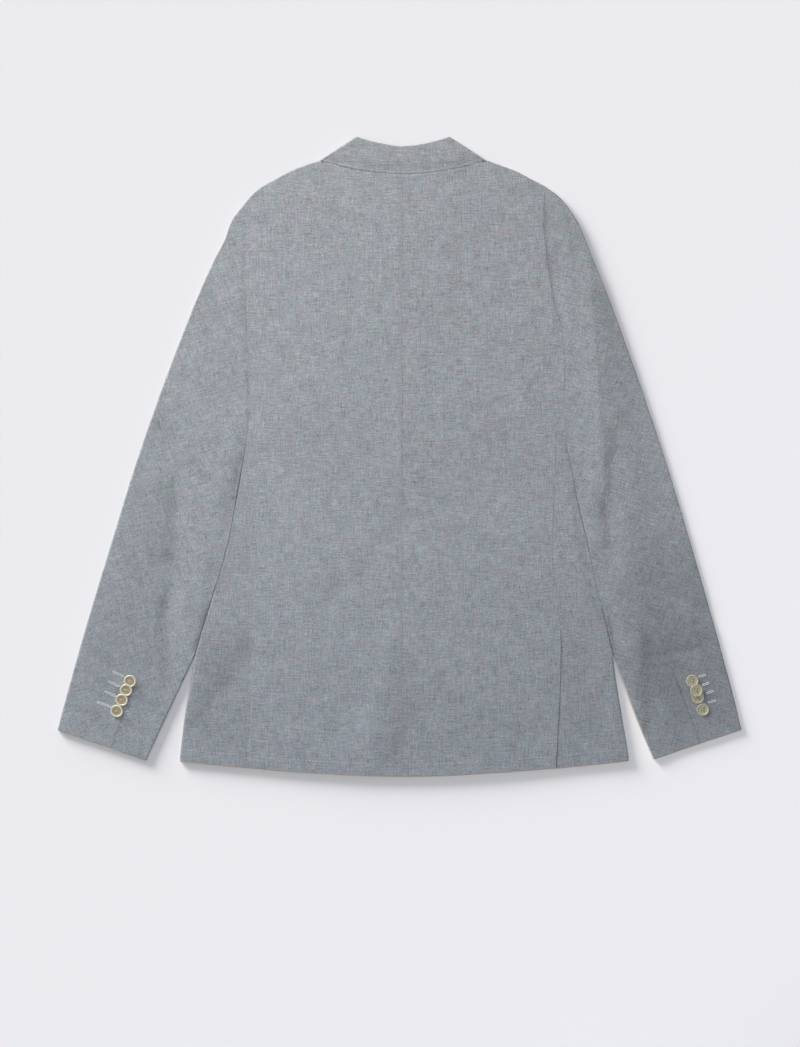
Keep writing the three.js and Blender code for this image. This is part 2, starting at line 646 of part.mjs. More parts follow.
// The leaf turns over at the fold line and ends in the stand's plane.
function collarLeaf() {
  const roll = CLOTH + LAYER_GAP / 2;
  const rollAngles = COLLAR_TURNS.map((turn) => Math.PI * turn);
  const flatShares = [0.35, 0.7, 1];
  const cells = collarStations().map((station) => {
    const rolled = rollAngles.map((angle) => {
      const at = (inside) => station.point(
        roll - (roll - inside) * Math.sin(angle),
        roll - (roll - inside) * Math.cos(angle),
      );
      return { outer: at(0), inner: at(CLOTH) };
    });
    const flat = flatShares.map((share) => {
      const set = lerp(roll, station.width, share);
      return { outer: station.point(set, 0), inner: station.point(set, CLOTH) };
    });
    return [...rolled, ...flat];
  });
  return clothWall("collar", cells, CHAMBRAY);
}

// The stand lies beneath the leaf, from just inside the fold to the neck seam.
function collarStand() {
  const depth = CLOTH + LAYER_GAP;
  const start = depth + SEAM_GAP;
  const frontEdgeAt = readerOfX(FRONT_EDGE);
  const neckAt = (x, y, isBack) => (isBack ? y - bodyTopY(x) : frontEdgeAt(y) - Math.abs(x));
  const stations = collarStations();
  const ends = stations.length - 1;
  const firstOnTop = COLLAR_END_SHARES.length + COLLAR_TURNS.findIndex((turn) => turn < 0.5);
  const cells = stations.map((station, k) => {
    const isBack = k >= firstOnTop && k <= ends - firstOnTop;
    let end = start + 1;
    while (end < station.width) {
      const { x, y } = station.flatPlace(end + STAND_CLEARANCE);
      if (Math.abs(x) > NECK_HALF_WIDTH - STAND_CLEARANCE || neckAt(x, y, isBack) < 0) break;
      end += STAND_STEP;
    }
    return [0, 0.5, 1].map((share) => {
      const set = lerp(start, end, share);
      return { outer: station.point(set, depth), inner: station.point(set, depth + CLOTH) };
    });
  });
  return clothWall("collar_stand", cells, CHAMBRAY_SHADE);
}

// A lapel lies flat beneath its front. The right one stops where the left front covers it.
function lapel(side) {
  const { sign } = OUTLINES[side];
  const rollCurve = curveThrough(LAPEL_ROLL);
  const edgeCurve = curveThrough(LAPEL_EDGE);
  const leftFrontAt = readerOfX(FRONT_EDGE);
  const columns = [0, 0.25, 0.5, 0.75, 1];
  const cells = Array.from({ length: LAPEL_STEPS + 1 }, (_, k) => {
    const roll = rollCurve.getPointAt(k / LAPEL_STEPS);
    const edge = edgeCurve.getPointAt(k / LAPEL_STEPS);
    const covered = side === "right" ? -leftFrontAt(roll.y) + LAYER_GAP : -FRONT_OVERLAP;
    const start = Math.max(roll.x, covered);
    return columns.map((share) => {
      const x = sign * lerp(start, Math.max(edge.x, start + 2), share);
      const y = lerp(roll.y, edge.y, share);
      return { outer: [x, y, 0], inner: [x, y, LAPEL_CLOTH] };
    });
  });
  return clothWall(`lapel_${side}`, cells, CHAMBRAY);
}

const wasm = await Module();
wasm.setup();

// A closed geometry as a solid: shared corners are merged, and faces that close up at an axis are left out.
function solidOf(geometry) {
  const bare = new THREE.BufferGeometry();
  bare.setAttribute("position", geometry.getAttribute("position"));
  bare.setIndex(geometry.index);
  const merged = mergeVertices(bare, 1e-4);
  const faces = merged.index.array;
  const kept = [];
  for (let k = 0; k < faces.length; k += 3) {
    const [a, b, c] = faces.slice(k, k + 3);
    if (a !== b && b !== c && c !== a) kept.push(a, b, c);
  }
  const vertProperties = new Float32Array(merged.getAttribute("position").array);
  return new wasm.Manifold(new wasm.Mesh({ numProp: 3, vertProperties, triVerts: new Uint32Array(kept) }));
}

// A four-hole button with a raised rim and a dished face, centred on its own middle.
function buttonGeometry({ diameter, thickness, hole, holeSpacing }) {
  const radius = diameter / 2;
  const half = thickness / 2;
  const dish = thickness * BUTTON_DISH_SHARE;
  const rim = radius * BUTTON_RIM_SHARE;
  const bevel = BUTTON_BEVEL;
  const profile = [
    [0, -half], [radius - bevel, -half], [radius, -half + bevel], [radius, half - bevel],
    [radius - bevel, half], [radius - rim, half], [radius - rim - BUTTON_DISH_SLOPE, half - dish],
    [0, half - dish],
  ].map(([out, up]) => new THREE.Vector2(out, up));
  const blank = new THREE.LatheGeometry(profile, BUTTON_SIDES);
  let solid = solidOf(blank);
  if (solid.volume() < 0) throw new Error("the button's profile runs the wrong way");
  for (const [stepX, stepZ] of [[-1, -1], [-1, 1], [1, -1], [1, 1]]) {
    const drill = new THREE.CylinderGeometry(hole / 2, hole / 2, thickness * 2, HOLE_SIDES);
    drill.translate((stepX * holeSpacing) / 2, 0, (stepZ * holeSpacing) / 2);
    solid = solid.subtract(solidOf(drill));
  }
  const { vertProperties, triVerts } = solid.getMesh();
  const geometry = new THREE.BufferGeometry();
  geometry.setAttribute("position", new THREE.BufferAttribute(vertProperties, 3));
  geometry.setIndex(new THREE.BufferAttribute(triVerts, 1));
  geometry.rotateX(Math.PI / 2);
  geometry.computeVertexNormals();
  return geometry;
}

function buttonMesh(name, geometry) {
  const material = new THREE.MeshStandardMaterial({ color: HORN, roughness: 0.4, metalness: 0 });
  const mesh = new THREE.Mesh(geometry, material);
  mesh.name = name;
  return mesh;
}

// The cuff's buttons overlap. On the left sleeve each leans, with its upper side on the one above it. On
// the right sleeve they lie flat, the second one on the two beside it.
function cuffButtons(side) {
  const { sign } = OUTLINES[side];
  const places = SIDES[side].cuffButtons;
  const first = places[0];
  const last = places[places.length - 1];
  const down = new THREE.Vector3(sign * (last.x - first.x), last.y - first.y, 0).normalize();
  const axis = new THREE.Vector3(-down.y, down.x, 0);
  return places.map((place, k) => {
    const lift = (CUFF_BUTTON.diameter / 2) * Math.sin(place.lean)
      + (CUFF_BUTTON.thickness / 2) * Math.cos(place.lean)
      + (CUFF_BUTTON.thickness + SEAM_GAP) * place.beneath;
    const mesh = buttonMesh(`cuff_button_${side}_${k + 1}`, buttonGeometry(CUFF_BUTTON));
    const x = sign * place.x;
    mesh.position.set(x, place.y, topHeight(x, place.y) + SEAM_GAP + lift);
    mesh.quaternion.setFromAxisAngle(axis, place.lean);
    return mesh;
  });
}

// The front's buttons face the surface that the blazer lies on.
function frontButtons() {
  return FRONT_BUTTON_PLACES.map((place, k) => {
    const mesh = buttonMesh(`front_button_${k + 1}`, buttonGeometry(FRONT_BUTTON));
    mesh.rotation.x = Math.PI;
    mesh.position.set(0, place.y, FRONT_BUTTON.thickness / 2);
    return mesh;
  });
}

const blazer = new THREE.Group();
for (const side of ["left", "right"]) {
  blazer.add(backPanel(side), sidePanel(side), frontPanel(side), lapel(side), ...sleevePanels(side));
  blazer.add(...cuffButtons(side));
}
blazer.add(collarLeaf(), collarStand(), ...frontButtons());

export default blazer;
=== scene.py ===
# Looks for a men's unstructured chambray blazer that lies face down, seen straight from above.
# Lengths in the tables are millimetres and are turned into metres where a mesh is made. x = 0 is the
# centre-back seam, +x the wearer's right, +y towards the collar and z = 0 the surface beneath.

import math

import bpy
import numpy as np
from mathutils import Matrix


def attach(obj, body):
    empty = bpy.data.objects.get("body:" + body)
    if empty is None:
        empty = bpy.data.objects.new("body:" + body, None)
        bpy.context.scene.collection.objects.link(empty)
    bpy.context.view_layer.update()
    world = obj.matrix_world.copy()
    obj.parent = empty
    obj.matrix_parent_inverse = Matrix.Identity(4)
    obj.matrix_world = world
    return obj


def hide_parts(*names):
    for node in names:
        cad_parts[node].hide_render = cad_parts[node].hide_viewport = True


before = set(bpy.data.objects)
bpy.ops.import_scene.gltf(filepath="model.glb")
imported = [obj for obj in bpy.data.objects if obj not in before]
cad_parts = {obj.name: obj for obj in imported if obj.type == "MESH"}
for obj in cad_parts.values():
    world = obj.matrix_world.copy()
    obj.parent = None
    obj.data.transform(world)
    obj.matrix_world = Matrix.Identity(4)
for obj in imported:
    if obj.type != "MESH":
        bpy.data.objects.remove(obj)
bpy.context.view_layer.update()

MM = 0.001
SIDES = ("left", "right")
SIGN = {"left": -1.0, "right": 1.0}

# Cloth and layers
CLOTH = 1.0
SOLID_CLOTH = 1.6
HEIGHT_IN_UV = 0.3
SEAM_GAP = 0.03
LAYER_GAP = 0.4
EDGE_HEIGHT = 7.0
CENTRE_RISE = 2.0
CENTRE_RISE_HALF_WIDTH = 185.0
FOLD_REACH = 1.9
VALLEY_GAP = 0.12
EDGE_ROUNDING = 0.3
# a turned-up hem's edge is rounder, a turned-in front's less so
HEM_ROUNDING = 1.3
FRONT_HEM_ROUNDING = 1.0
# distances from an edge at which a panel's outermost columns lie, and the width that takes them whole
EDGE_STEPS = np.array([0.0, 0.15, 0.35, 0.7, 1.3, 2.4])
EDGE_STEPS_WIDTH = 8.0
# shares of a half ellipse: where the cloth turns over the shoulder, and round a side
SHOULDER_TURNS = np.array([0.08, 0.16, 0.24, 0.32, 0.40, 0.45])[:, None]
SIDE_TURNS = np.linspace(0, 1, 13)[None, 1:-1]

# Body
HEM_CENTRE_Y = -378.0
HEM_SIDE_LIFT = 18.0
HEM_HALF_WIDTH = 265.0
HEM_TURN_UP = 15.0
HEM_TURN_UP_RISE = 0.35
HEM_STITCH_DIP = 0.25
HEM_STITCH_HALF_WIDTH = 1.6
ARMPIT_Y = 45.0
UPPER_BODY_LENGTH = 290.0
# typical places of the side back seam, the side's underside and the front's seam, for the hem's height
BACK_SEAM_X = 180.0
SIDE_MIDDLE_X = 225.0
FRONT_SEAM_X = 150.0
# how far in from an armhole the rows bend to meet it
ARMHOLE_BLEND = 60.0
VENT_TOP_Y = -206.0
VENT_LAP = 32.0
VENT_STAND_OFF = 0.4
VENT_STAND_OFF_HALF_WIDTH = 14.0
SEAM_LAP = 6.0
LAP_DROP = 1.35
OPEN_LAP_DROP = 1.45
LAP_SLOPE = 0.06
OPEN_LAP_SLOPE = 0.4
FRONT_HEM_INSET = 4.0
NECK_HALF_WIDTH = 70.0
BACK_NECK_Y = 338.5
NECK_RISE = 25.0
# at the neck the back's upper rows hardly turn over, and beyond it they turn round the shoulder
NECK_TURN = 0.06
NECK_REACH = 0.3
NECK_BLEND = (66.0, 76.0)
# the centre-back seam's pinkish band, and the least height of the garment's upper side
SEAM_BAND_X = -2.2
UPPER_SIDE_LEVEL = 2.5

# Collar
FOLD_CORNER = np.array([54.0, 377.0])
FOLD_CENTRE_Y = 366.0
FALL_CORNER = np.array([98.0, 350.0])
FALL_CENTRE_Y = 334.0
COLLAR_END_FOLD = np.array([47.0, 329.0])
COLLAR_END_FALL = np.array([104.0, 288.0])
COLLAR_LIFT = 1.55
COLLAR_EDGE_DROP = 1.05
COLLAR_EDGE_CLOTH = 0.35
COLLAR_PRESSED_WIDTH = 16.0
COLLAR_CORNER_REACH = np.array([0.3, 1.2])
COLLAR_ROLL = 1.7
STAND_DEPTH = 2.0
SHOULDER_UNDER_COLLAR = 3.6
BARE_SHOULDER_BLEND = (94.0, 99.0)
# the stand keeps clear of the leaf's roll and of the neck's seam
STAND_CLEAR = 0.6
# stations along a front part of the collar, round a shoulder and along the back neck
FRONT_STATIONS = 26
SHOULDER_STATIONS = 15
NECK_STATIONS = 64
BELOW_SHOULDER = np.array([0.0, 6.0])
# the row of stitches along the collar's and the lapels' edges
EDGE_STITCH_INSET = 5.0

# Fronts: how far lapels and buttons hold them up, and where that ends
FRONT_RAISE = 2.6
RAISE_FULL_X, RAISE_END_X = 130.0, 152.0
RAISE_FULL_Y, RAISE_END_Y = -100.0, -160.0
# where the right front, which lies over the left one, comes down to the surface
RIGHT_LIFT_FULL_X, RIGHT_LIFT_END_X = 22.0, 58.0
FRONT_EDGE_X = -19.0
LAPEL_CLOTH = 1.8
LAPEL_MIN_WIDTH = 8.0
LAPEL_STATIONS = 76
# how the cloth beneath lies off the surface: height in all, size of the waves and random seed
FRONT_CRUMPLE = (0.7, 58, 21)
SLEEVE_CRUMPLE = (0.8, 47, 31)

# Sleeves: length, how the stations fan out, and the cuff's turned-in hem
SLEEVE_LENGTH = 640.0
FAN = (0.2, 1.04, -0.24)
HIND_SEAM_AT_ARMHOLE = 0.6
FORE_SEAM_SHARE = 0.74
CUFF_TURN_IN = 34.0
CUFF_STITCH_DIP = 0.22
CUFF_STITCH_HALF_WIDTH = 2.2
# how far up from the cuff's edge its vent runs, and where it has closed
CUFF_VENT = (70.0, 95.0)
SLEEVE_TOP_COLUMNS = 34

# Outlines of the two sides, as (x, y), x measured outwards from the centre-back seam
OUTLINES = {
    "left": dict(
        armhole=[(187, 299), (189, 255), (188, 213), (185.5, 185), (184, 149), (183, 102), (183, 45)],
        sleeve_outer=[(187, 299), (202, 279), (211, 255), (223, 232), (244, 185), (281, 90), (314, -4),
                      (343.5, -99), (372, -193), (398.5, -287), (408, -323)],
        valley=[(183, 45), (184.5, 23), (189, -6), (198, -57), (206, -99), (225, -166), (239, -211),
                (245, -232)],
        sleeve_inner=[(261, -268), (281, -311), (303, -359)],
        body_side=[(250, -264), (258, -311), (263.5, -360)],
        back_seam=[(175, 45), (172, -51), (173, -122), (178, -208), (179, -246), (181, -368)],
        hind_share=0.6,
        grain=math.radians(-17.0),
    ),
    "right": dict(
        armhole=[(168, 319), (166.5, 274), (169.5, 239), (173, 215), (178, 187), (184, 163),
                 (190.5, 132), (191, 102), (190, 62), (190.5, 45)],
        sleeve_outer=[(168, 319), (184, 307), (205, 279), (225, 232), (244, 185), (278.5, 90),
                      (310, -4), (339, -99), (366, -193), (391.5, -287), (400, -323)],
        valley=[(190.5, 45), (194, 8), (199.5, -18), (205, -48), (217, -99), (229, -154), (238, -189),
                (248, -231)],
        sleeve_inner=[(252, -242), (259, -264), (276, -311), (296, -358)],
        body_side=[(248.8, -242), (251.5, -264), (259, -311), (267, -359)],
        back_seam=[(182, 45), (180, -16), (177, -87), (177.5, -134), (186, -206), (185, -287),
                   (180.5, -368)],
        hind_share=0.47,
        grain=math.radians(17.0),
    ),
}
SHOULDER = [(98, 350), (112, 345), (135, 336), (153, 326.5), (168, 318.5), (181, 307), (190, 296)]
FRONT_SEAM = [(150, 45), (158, -160), (172, -368)]
FRONT_EDGE = [(70, 364), (59, 345), (46, 325), (39, 310), (-12.5, 80), (-19, 52), (-19, 30),
              (-19, -280), (-9, -325), (12, -352), (58, -374)]
LAPEL_ROLL = [(44, 324), (39, 310), (-17, 60)]
LAPEL_EDGE = [(122, 274), (100, 210), (62, 135), (16, 80), (-15, 54)]

# Soft folds of the cloth, the same in form as the solids' own: x and y of both ends, depth of the
# trough (negative for a ridge) and half width
LARGE_FOLDS = [
    (-8, -220, -46, -350, -0.9, 18), (84, -52, -8, -70, 0.5, 20), (-8, -70, -98, -178, 0.5, 22),
    (-190, -240, -246, -318, 1.1, 18), (222, -262, 256, -335, -0.9, 16), (-310, 14, -272, 14, 0.9, 16),
    (-270, -45, -282, -205, 1.3, 17), (-282, -205, -298, -290, 0.9, 17), (222, 205, 240, -40, -0.9, 15),
    (250, 24, 243, -128, 1.1, 14), (286, -150, 356, -188, 1.0, 16), (290, -235, 342, -231, 0.8, 15),
]
# Narrower creases, which the solids leave out
FINE_FOLDS = [
    (83, -55, 5, -67, 0.1, 6), (5, -67, -51, -128, 0.12, 7), (-178, -208, -60, -209, 0.22, 4),
    (-40, -208, 150, -207, 0.2, 4), (228, -270, 262, -332, 0.35, 6), (-312, 14, -276, 12, 0.45, 7),
    (288, -153, 330, -176, 0.5, 6), (326, -172, 368, -194, 0.5, 6), (296, -238, 346, -231, 0.45, 5),
    (194, 274, 201, 190, -0.3, 5), (201, 190, 192, 100, -0.3, 5), (219, 239, 226, 140, -0.35, 4),
    (226, 140, 240, -36, -0.35, 4), (240, -36, 247, -124, -0.3, 4), (-214, 236, -228, 150, 0.3, 9),
    (-196, 92, -214, 10, 0.3, 9), (-120, 250, -60, 262, 0.15, 9), (70, 275, 150, 250, 0.2, 9),
    (-206, -120, -232, -196, 0.3, 6), (226, -112, 240, -178, 0.3, 6), (300, -60, 322, -128, 0.25, 8),
    (-330, -60, -352, -140, 0.25, 9), (-160, 20, -150, -90, 0.2, 8), (165, 40, 158, -60, 0.22, 8),
]
# Creases carved into the upper face, with painted shade along their trough, or painted highlight along
# their crest where the depth of tone is negative: x and y of both ends, depth of tone and half width
CREASES_WITH_PAINTED_SHADE = [
    (-187.6, 194, -181.7, 97, 0.08, 3.5), (-181.7, 97, -180.5, 49, 0.08, 3.5),
    (-180.5, 49, -191.2, -6.5, 0.06, 4), (-191.2, -6.5, -198.2, -49, 0.15, 6),
    (-198.2, -49, -208.9, -83, 0.08, 6), (-270.8, -35, -274.2, -117, 0.12, 7),
    (-274.2, -117, -281.2, -173, 0.12, 6), (-281.2, -173, -281.2, -271, 0.15, 7),
    (-288, 0.6, -250, 4, 0.05, 9), (-291.5, -291, -285, -300, 0.10, 9),
    (-177, -222, -208.9, -264, 0.04, 9), (-208.9, -264, -253.7, -323, 0.08, 6),
    (167.2, 292, 172.3, 237, 0.07, 3.5), (172.3, 237, 182.9, 160, 0.10, 3.5),
    (193.5, 285, 200.6, 244, 0.08, 4), (186.4, 237, 193.5, 160, -0.06, 4),
    (249, 21, 238.4, -62, 0.13, 6),
    (238.4, -62, 245.4, -132, 0.13, 6), (286.7, -215, 286.7, -319, 0.13, 8),
    (290.3, -228, 345.7, -228, 0.02, 7), (220.7, -264, 249, -319, -0.10, 4),
    (-69.6, -150, -105, -181, 0.06, 5), (-59, -208, 32, -208, -0.05, 2),
]
CREASE_DEPTH = 3.2
# Painted shade over wider patches of the cloth, and painted light where the depth of tone is negative
PAINTED_SHADE_AND_LIGHT_PATCHES = [
    (-228.9, -173, -246.6, -228, 0.28, 2.4), (199.4, 0.6, 207.7, -62, 0.05, 2.4),
    (241.9, -187, 249, -228, 0.25, 2.4), (-319.8, -122, -328, -240, 0.09, 34),
    (-300, 20, -310, -60, 0.05, 40), (241.9, 185, 262, 20, 0.09, 22),
    (297.4, -169, 317.4, -228, 0.20, 44), (338.7, -122, 380, -287, 0.15, 28),
    (312, -262, 345, -335, 0.09, 36), (300, -250, 325, -300, 0.07, 20), (70, -60, -8, -74, 0.04, 8),
    (-8, -74, -74, -152, 0.06, 8), (-258, -50, -266, -150, 0.06, 9), (-313, -270, -329, -306, -0.28, 6),
    (203, -228, 220.7, -311, 0.08, 20), (14, -275, -13, -340, 0.05, 14),
    (-6, -334, -15, -364, 0.09, 11), (-24, -264, -54, -334, -0.04, 12),
    (60, -310, 130, -320, 0.04, 42), (-215, -240, -225, -320, 0.06, 26),
    (-290, -50, -300, -115, 0.05, 30), (-360, -225, -365, -295, 0.05, 22), (282, -40, 292, -115, 0.075, 30),
    (-222, 155, -218, 85, 0.03, 24), (-110, 25, 110, 10, 0.03, 60), (187, 25, 212, -110, 0.07, 6),
    (212, -110, 232, -185, 0.06, 6), (-193, 31, -201, -28, 0.09, 7), (-211, -45, -232, -125, 0.06, 10),
    (-226, -125, -242, -195, 0.09, 9),
]
# painted shade towards the hem; on the steep outside of pressed edges, painted shade where it faces the
# lamp and painted light where it faces away
LOWER_PAINTED_SHADE = 0.07
LIT_EDGE_PAINTED_SHADE = 0.45
SHADED_EDGE_PAINTED_LIGHT = -0.9
# How far apart the sleeve and the body round over in the valley between them, as (y, reach)
VALLEY_REACHES = {
    "left": [(45, 0.15), (4, 0.4), (-40, 0.6), (-75, 0.25), (-120, 0.12), (-170, 0.3), (-205, 0.8),
             (-237, 0.9), (-257, 1.9)],
    "right": [(45, 0.08), (0, 0.1), (-45, 0.12), (-62, 0.25), (-90, 0.12), (-175, 0.1), (-190, 0.7),
              (-237, 0.9), (-257, 1.9)],
}

# Unevenness of cloth laid by hand, as (height, size of its waves, random seed)
UNEVENNESS = [(0.34, 62, 3), (0.16, 27, 5), (0.05, 11, 8)]

# The right sleeve falls away outside a soft crest
SLEEVE_SLOPE = dict(start=(219.0, 239.0), end=(247.0, -124.0), drop=2.6, width=75.0)


# Curves and fields

def smooth_curve(points, steps=40):
    """A centripetal Catmull-Rom curve: each stretch is a cubic whose end slopes follow its neighbours."""
    p = np.asarray(points, float)
    p = np.vstack([2 * p[0] - p[1], p, 2 * p[-1] - p[-2]])
    a, b, c, d = p[:-3], p[1:-2], p[2:-1], p[3:]
    root = [np.sqrt(np.linalg.norm(q - r, axis=1))[:, None] for q, r in ((b, a), (c, b), (d, c))]
    start = (b - a) / root[0] - (c - a) / (root[0] + root[1]) + (c - b) / root[1]
    end = (c - b) / root[1] - (d - b) / (root[1] + root[2]) + (d - c) / root[2]
    start, end = start * root[1], end * root[1]
    t = np.linspace(0, 1, steps, endpoint=False)[None, :, None]
    b, c, start, end = (q[:, None, :] for q in (b, c, start, end))
    stretch = (b + start * t + (3 * (c - b) - 2 * start - end) * t**2
               + (2 * (b - c) + start + end) * t**3)
    return np.vstack([stretch.reshape(-1, p.shape[1]), p[-2]])


def x_reader(points):
    """x as a function of y along a smooth curve that runs downwards."""
    curve = smooth_curve(points)[::-1]
    return lambda y: np.interp(y, curve[:, 1], curve[:, 0])


def distance_along(points):
    """The distance along a line from its first point to each of its points."""
    return np.concatenate([[0], np.cumsum(np.linalg.norm(np.diff(points, axis=0), axis=1))])


def place_reader(points):
    """The place at a share of a smooth curve's length."""
    curve = smooth_curve(points)
    run = distance_along(curve)

    def read(share):
        at = np.asarray(share) * run[-1]
        return np.stack([np.interp(at, run, curve[:, k]) for k in range(curve.shape[1])], axis=-1)
    return read


def smoothstep(value, low, high):
    t = np.clip((value - low) / (high - low), 0, 1)
    return t * t * (3 - 2 * t)


def mix(a, b, share):
    return a + (b - a) * share


def near(distance, width):
    """A bell: 1 at no distance, and 0.37 at the given width."""
    return np.exp(-(distance / width) ** 2)


def folds(x, y, table):
    """Each fold is a bell across its line, as deep as its depth, and tapers round its two ends."""
    total = np.zeros(np.broadcast(x, y).shape)
    for x1, y1, x2, y2, depth, half in table:
        along_x, along_y = x2 - x1, y2 - y1
        share = ((x - x1) * along_x + (y - y1) * along_y) / (along_x**2 + along_y**2)
        share = np.clip(share, 0, 1)
        away = np.hypot(x - x1 - share * along_x, y - y1 - share * along_y) / half
        total -= depth * np.exp(-away**2)
    return total


def unevenness(x, y, size, seed):
    """Smooth value noise from -1 to 1: random heights on a square net of the given size, joined
    smoothly."""
    net = np.random.default_rng(seed).uniform(-1, 1, (64, 64))
    u, v = np.asarray(x) / size + 32, np.asarray(y) / size + 32
    i, j = np.floor(u).astype(int) % 63, np.floor(v).astype(int) % 63
    s, t = smoothstep(u - np.floor(u), 0, 1), smoothstep(v - np.floor(v), 0, 1)
    low = mix(net[i, j], net[i + 1, j], s)
    high = mix(net[i, j + 1], net[i + 1, j + 1], s)
    return mix(low, high, t)


def sleeve_slope(x, y):
    (x1, y1), (x2, y2) = SLEEVE_SLOPE["start"], SLEEVE_SLOPE["end"]
    crest = mix(x1, x2, (y - y1) / (y2 - y1))
    return -SLEEVE_SLOPE["drop"] * smoothstep(x - crest, 0, SLEEVE_SLOPE["width"])


def plain_height(x, y):
    """The upper face without its narrow creases: a low rise across the back, and the large folds."""
    rise = CENTRE_RISE * np.maximum(0, 1 - (x / CENTRE_RISE_HALF_WIDTH) ** 2)
    return EDGE_HEIGHT + rise + folds(x, y, LARGE_FOLDS) + sleeve_slope(x, y)


def top_height(x, y):
    """Height of the cloth's upper face, with its creases and the unevenness of cloth laid by hand."""
    soft = sum(height * unevenness(x, y, size, seed) for height, size, seed in UNEVENNESS)
    return plain_height(x, y) + folds(x, y, FINE_FOLDS) + CREASE_DEPTH * folds(x, y, CREASES_WITH_PAINTED_SHADE) + soft


def crumple(x, y, height, size, seed):
    """How far the cloth beneath lies off the surface, from 0 to the given height."""
    return height * (0.5 + 0.5 * unevenness(x, y, size, seed))


def hem_y(x):
    return HEM_CENTRE_Y + HEM_SIDE_LIFT * (np.abs(x) / HEM_HALF_WIDTH) ** 1.6


shoulder_curve = smooth_curve(SHOULDER)


def body_top_y(x):
    """The body's upper edge: the back neck, the shoulder beneath the collar, then the bare shoulder."""
    across = np.abs(x)
    neck = BACK_NECK_Y + NECK_RISE * (across / NECK_HALF_WIDTH) ** 2.2
    share = (across - FOLD_CORNER[0]) / (FALL_CORNER[0] - FOLD_CORNER[0])
    beneath = mix(FOLD_CORNER[1], FALL_CORNER[1], share) - SHOULDER_UNDER_COLLAR
    bare = np.interp(across, shoulder_curve[:, 0], shoulder_curve[:, 1])
    shoulder = mix(beneath, bare, smoothstep(across, *BARE_SHOULDER_BLEND))
    return np.where(across < NECK_HALF_WIDTH, neck, shoulder)


def front_under_height(side, x, y):
    """Height of a front's lower face: raised over lapels and buttons, and the right one over the left."""
    sideways = 1 - smoothstep(np.abs(x), RAISE_FULL_X, RAISE_END_X)
    raised = FRONT_RAISE * sideways * smoothstep(y, RAISE_END_Y, RAISE_FULL_Y)
    overlap = 1 - smoothstep(x, RIGHT_LIFT_FULL_X, RIGHT_LIFT_END_X)
    lift = (SOLID_CLOTH + LAYER_GAP) * overlap if side == "right" else 0
    return raised + lift


def pressed(distance, rounding=EDGE_ROUNDING):
    """How far a turned edge drops: a quarter circle of the given radius, nothing further in."""
    inside = np.clip(1 - distance / rounding, 0, 1)
    return rounding * (1 - np.sqrt(1 - inside**2))


def spread(start, end, count):
    """Places from start to end, close together at both ends and even between."""
    start, end = np.atleast_1d(start)[:, None], np.atleast_1d(end)[:, None]
    width = end - start
    steps = EDGE_STEPS * np.clip(np.abs(width) / EDGE_STEPS_WIDTH, 0, 1) * np.sign(width)
    first, last = start + steps, end - steps[:, ::-1]
    inner = mix(first[:, -1:], last[:, :1], np.linspace(0, 1, count + 2)[None, 1:-1])
    return np.hstack([first, inner, last])


def hem_relief(above_hem):
    """The hem's rounded edge, its thicker turn-up and the dip along its stitches."""
    turned_up = 1 - smoothstep(above_hem, HEM_TURN_UP - 1, HEM_TURN_UP + 2)
    dip = HEM_STITCH_DIP * near(above_hem - HEM_TURN_UP, HEM_STITCH_HALF_WIDTH)
    return HEM_TURN_UP_RISE * turned_up - dip - pressed(above_hem, HEM_ROUNDING)


def fold_points(edge, inward, reach, top, under, turn, depth=0.0):
    """Half an ellipse round an edge: turn 0 leaves the upper face and turn 1 meets the lower one."""
    half = (top - under) / 2
    inset = reach - (reach - depth) * np.sin(np.pi * turn)
    return np.stack([
        edge[..., 0] + inward[..., 0] * inset,
        edge[..., 1] + inward[..., 1] * inset,
        (top + under) / 2 + (half - depth) * np.cos(np.pi * turn),
    ], axis=-1)


class Side:
    """Outline readers for one side of the garment."""

    def __init__(self, side):
        table = OUTLINES[side]
        inner = table["valley"] + table["sleeve_inner"]
        self.sign = SIGN[side]
        self.armhole = x_reader(table["armhole"])
        self.armhole_top = table["armhole"][0]
        self.back_seam = x_reader(table["back_seam"])
        self.outer = place_reader(table["sleeve_outer"])
        self.inner = place_reader(inner)
        self.sleeve_inner_x = x_reader(inner)
        self.body_side_x = x_reader(table["valley"] + table["body_side"])
        self.hind_share = table["hind_share"]
        self.grain = table["grain"]
        self.reaches = np.array(VALLEY_REACHES[side])[::-1]

    def body_edge(self, y):
        return np.minimum(self.body_side_x(y), self.sleeve_inner_x(y)) - VALLEY_GAP

    def valley_reach(self, y):
        return np.interp(y, self.reaches[:, 0], self.reaches[:, 1])


LAYOUT = {side: Side(side) for side in SIDES}
front_seam_x = x_reader(FRONT_SEAM)
front_edge_x = x_reader(FRONT_EDGE)


# Surfaces

def two_stretches(row, low, high):
    """Rows from 0 to 1 run from the lower end to the armpit's level, and on from 1 to 2 to the upper."""
    below = mix(low, ARMPIT_Y, np.minimum(row, 1))
    above = mix(ARMPIT_Y, high, np.maximum(row - 1, 0))
    return np.where(row < 1, below, above)


def row_y(row, x, inset=0.0):
    return two_stretches(row, hem_y(x) + inset, body_top_y(x))


def body_rows(low_count=112, high_count=76):
    low = spread(0, ARMPIT_Y - HEM_CENTRE_Y, low_count)[0] / (ARMPIT_Y - HEM_CENTRE_Y)
    high = spread(0, UPPER_BODY_LENGTH, high_count)[0] / UPPER_BODY_LENGTH
    return low, 1 + high


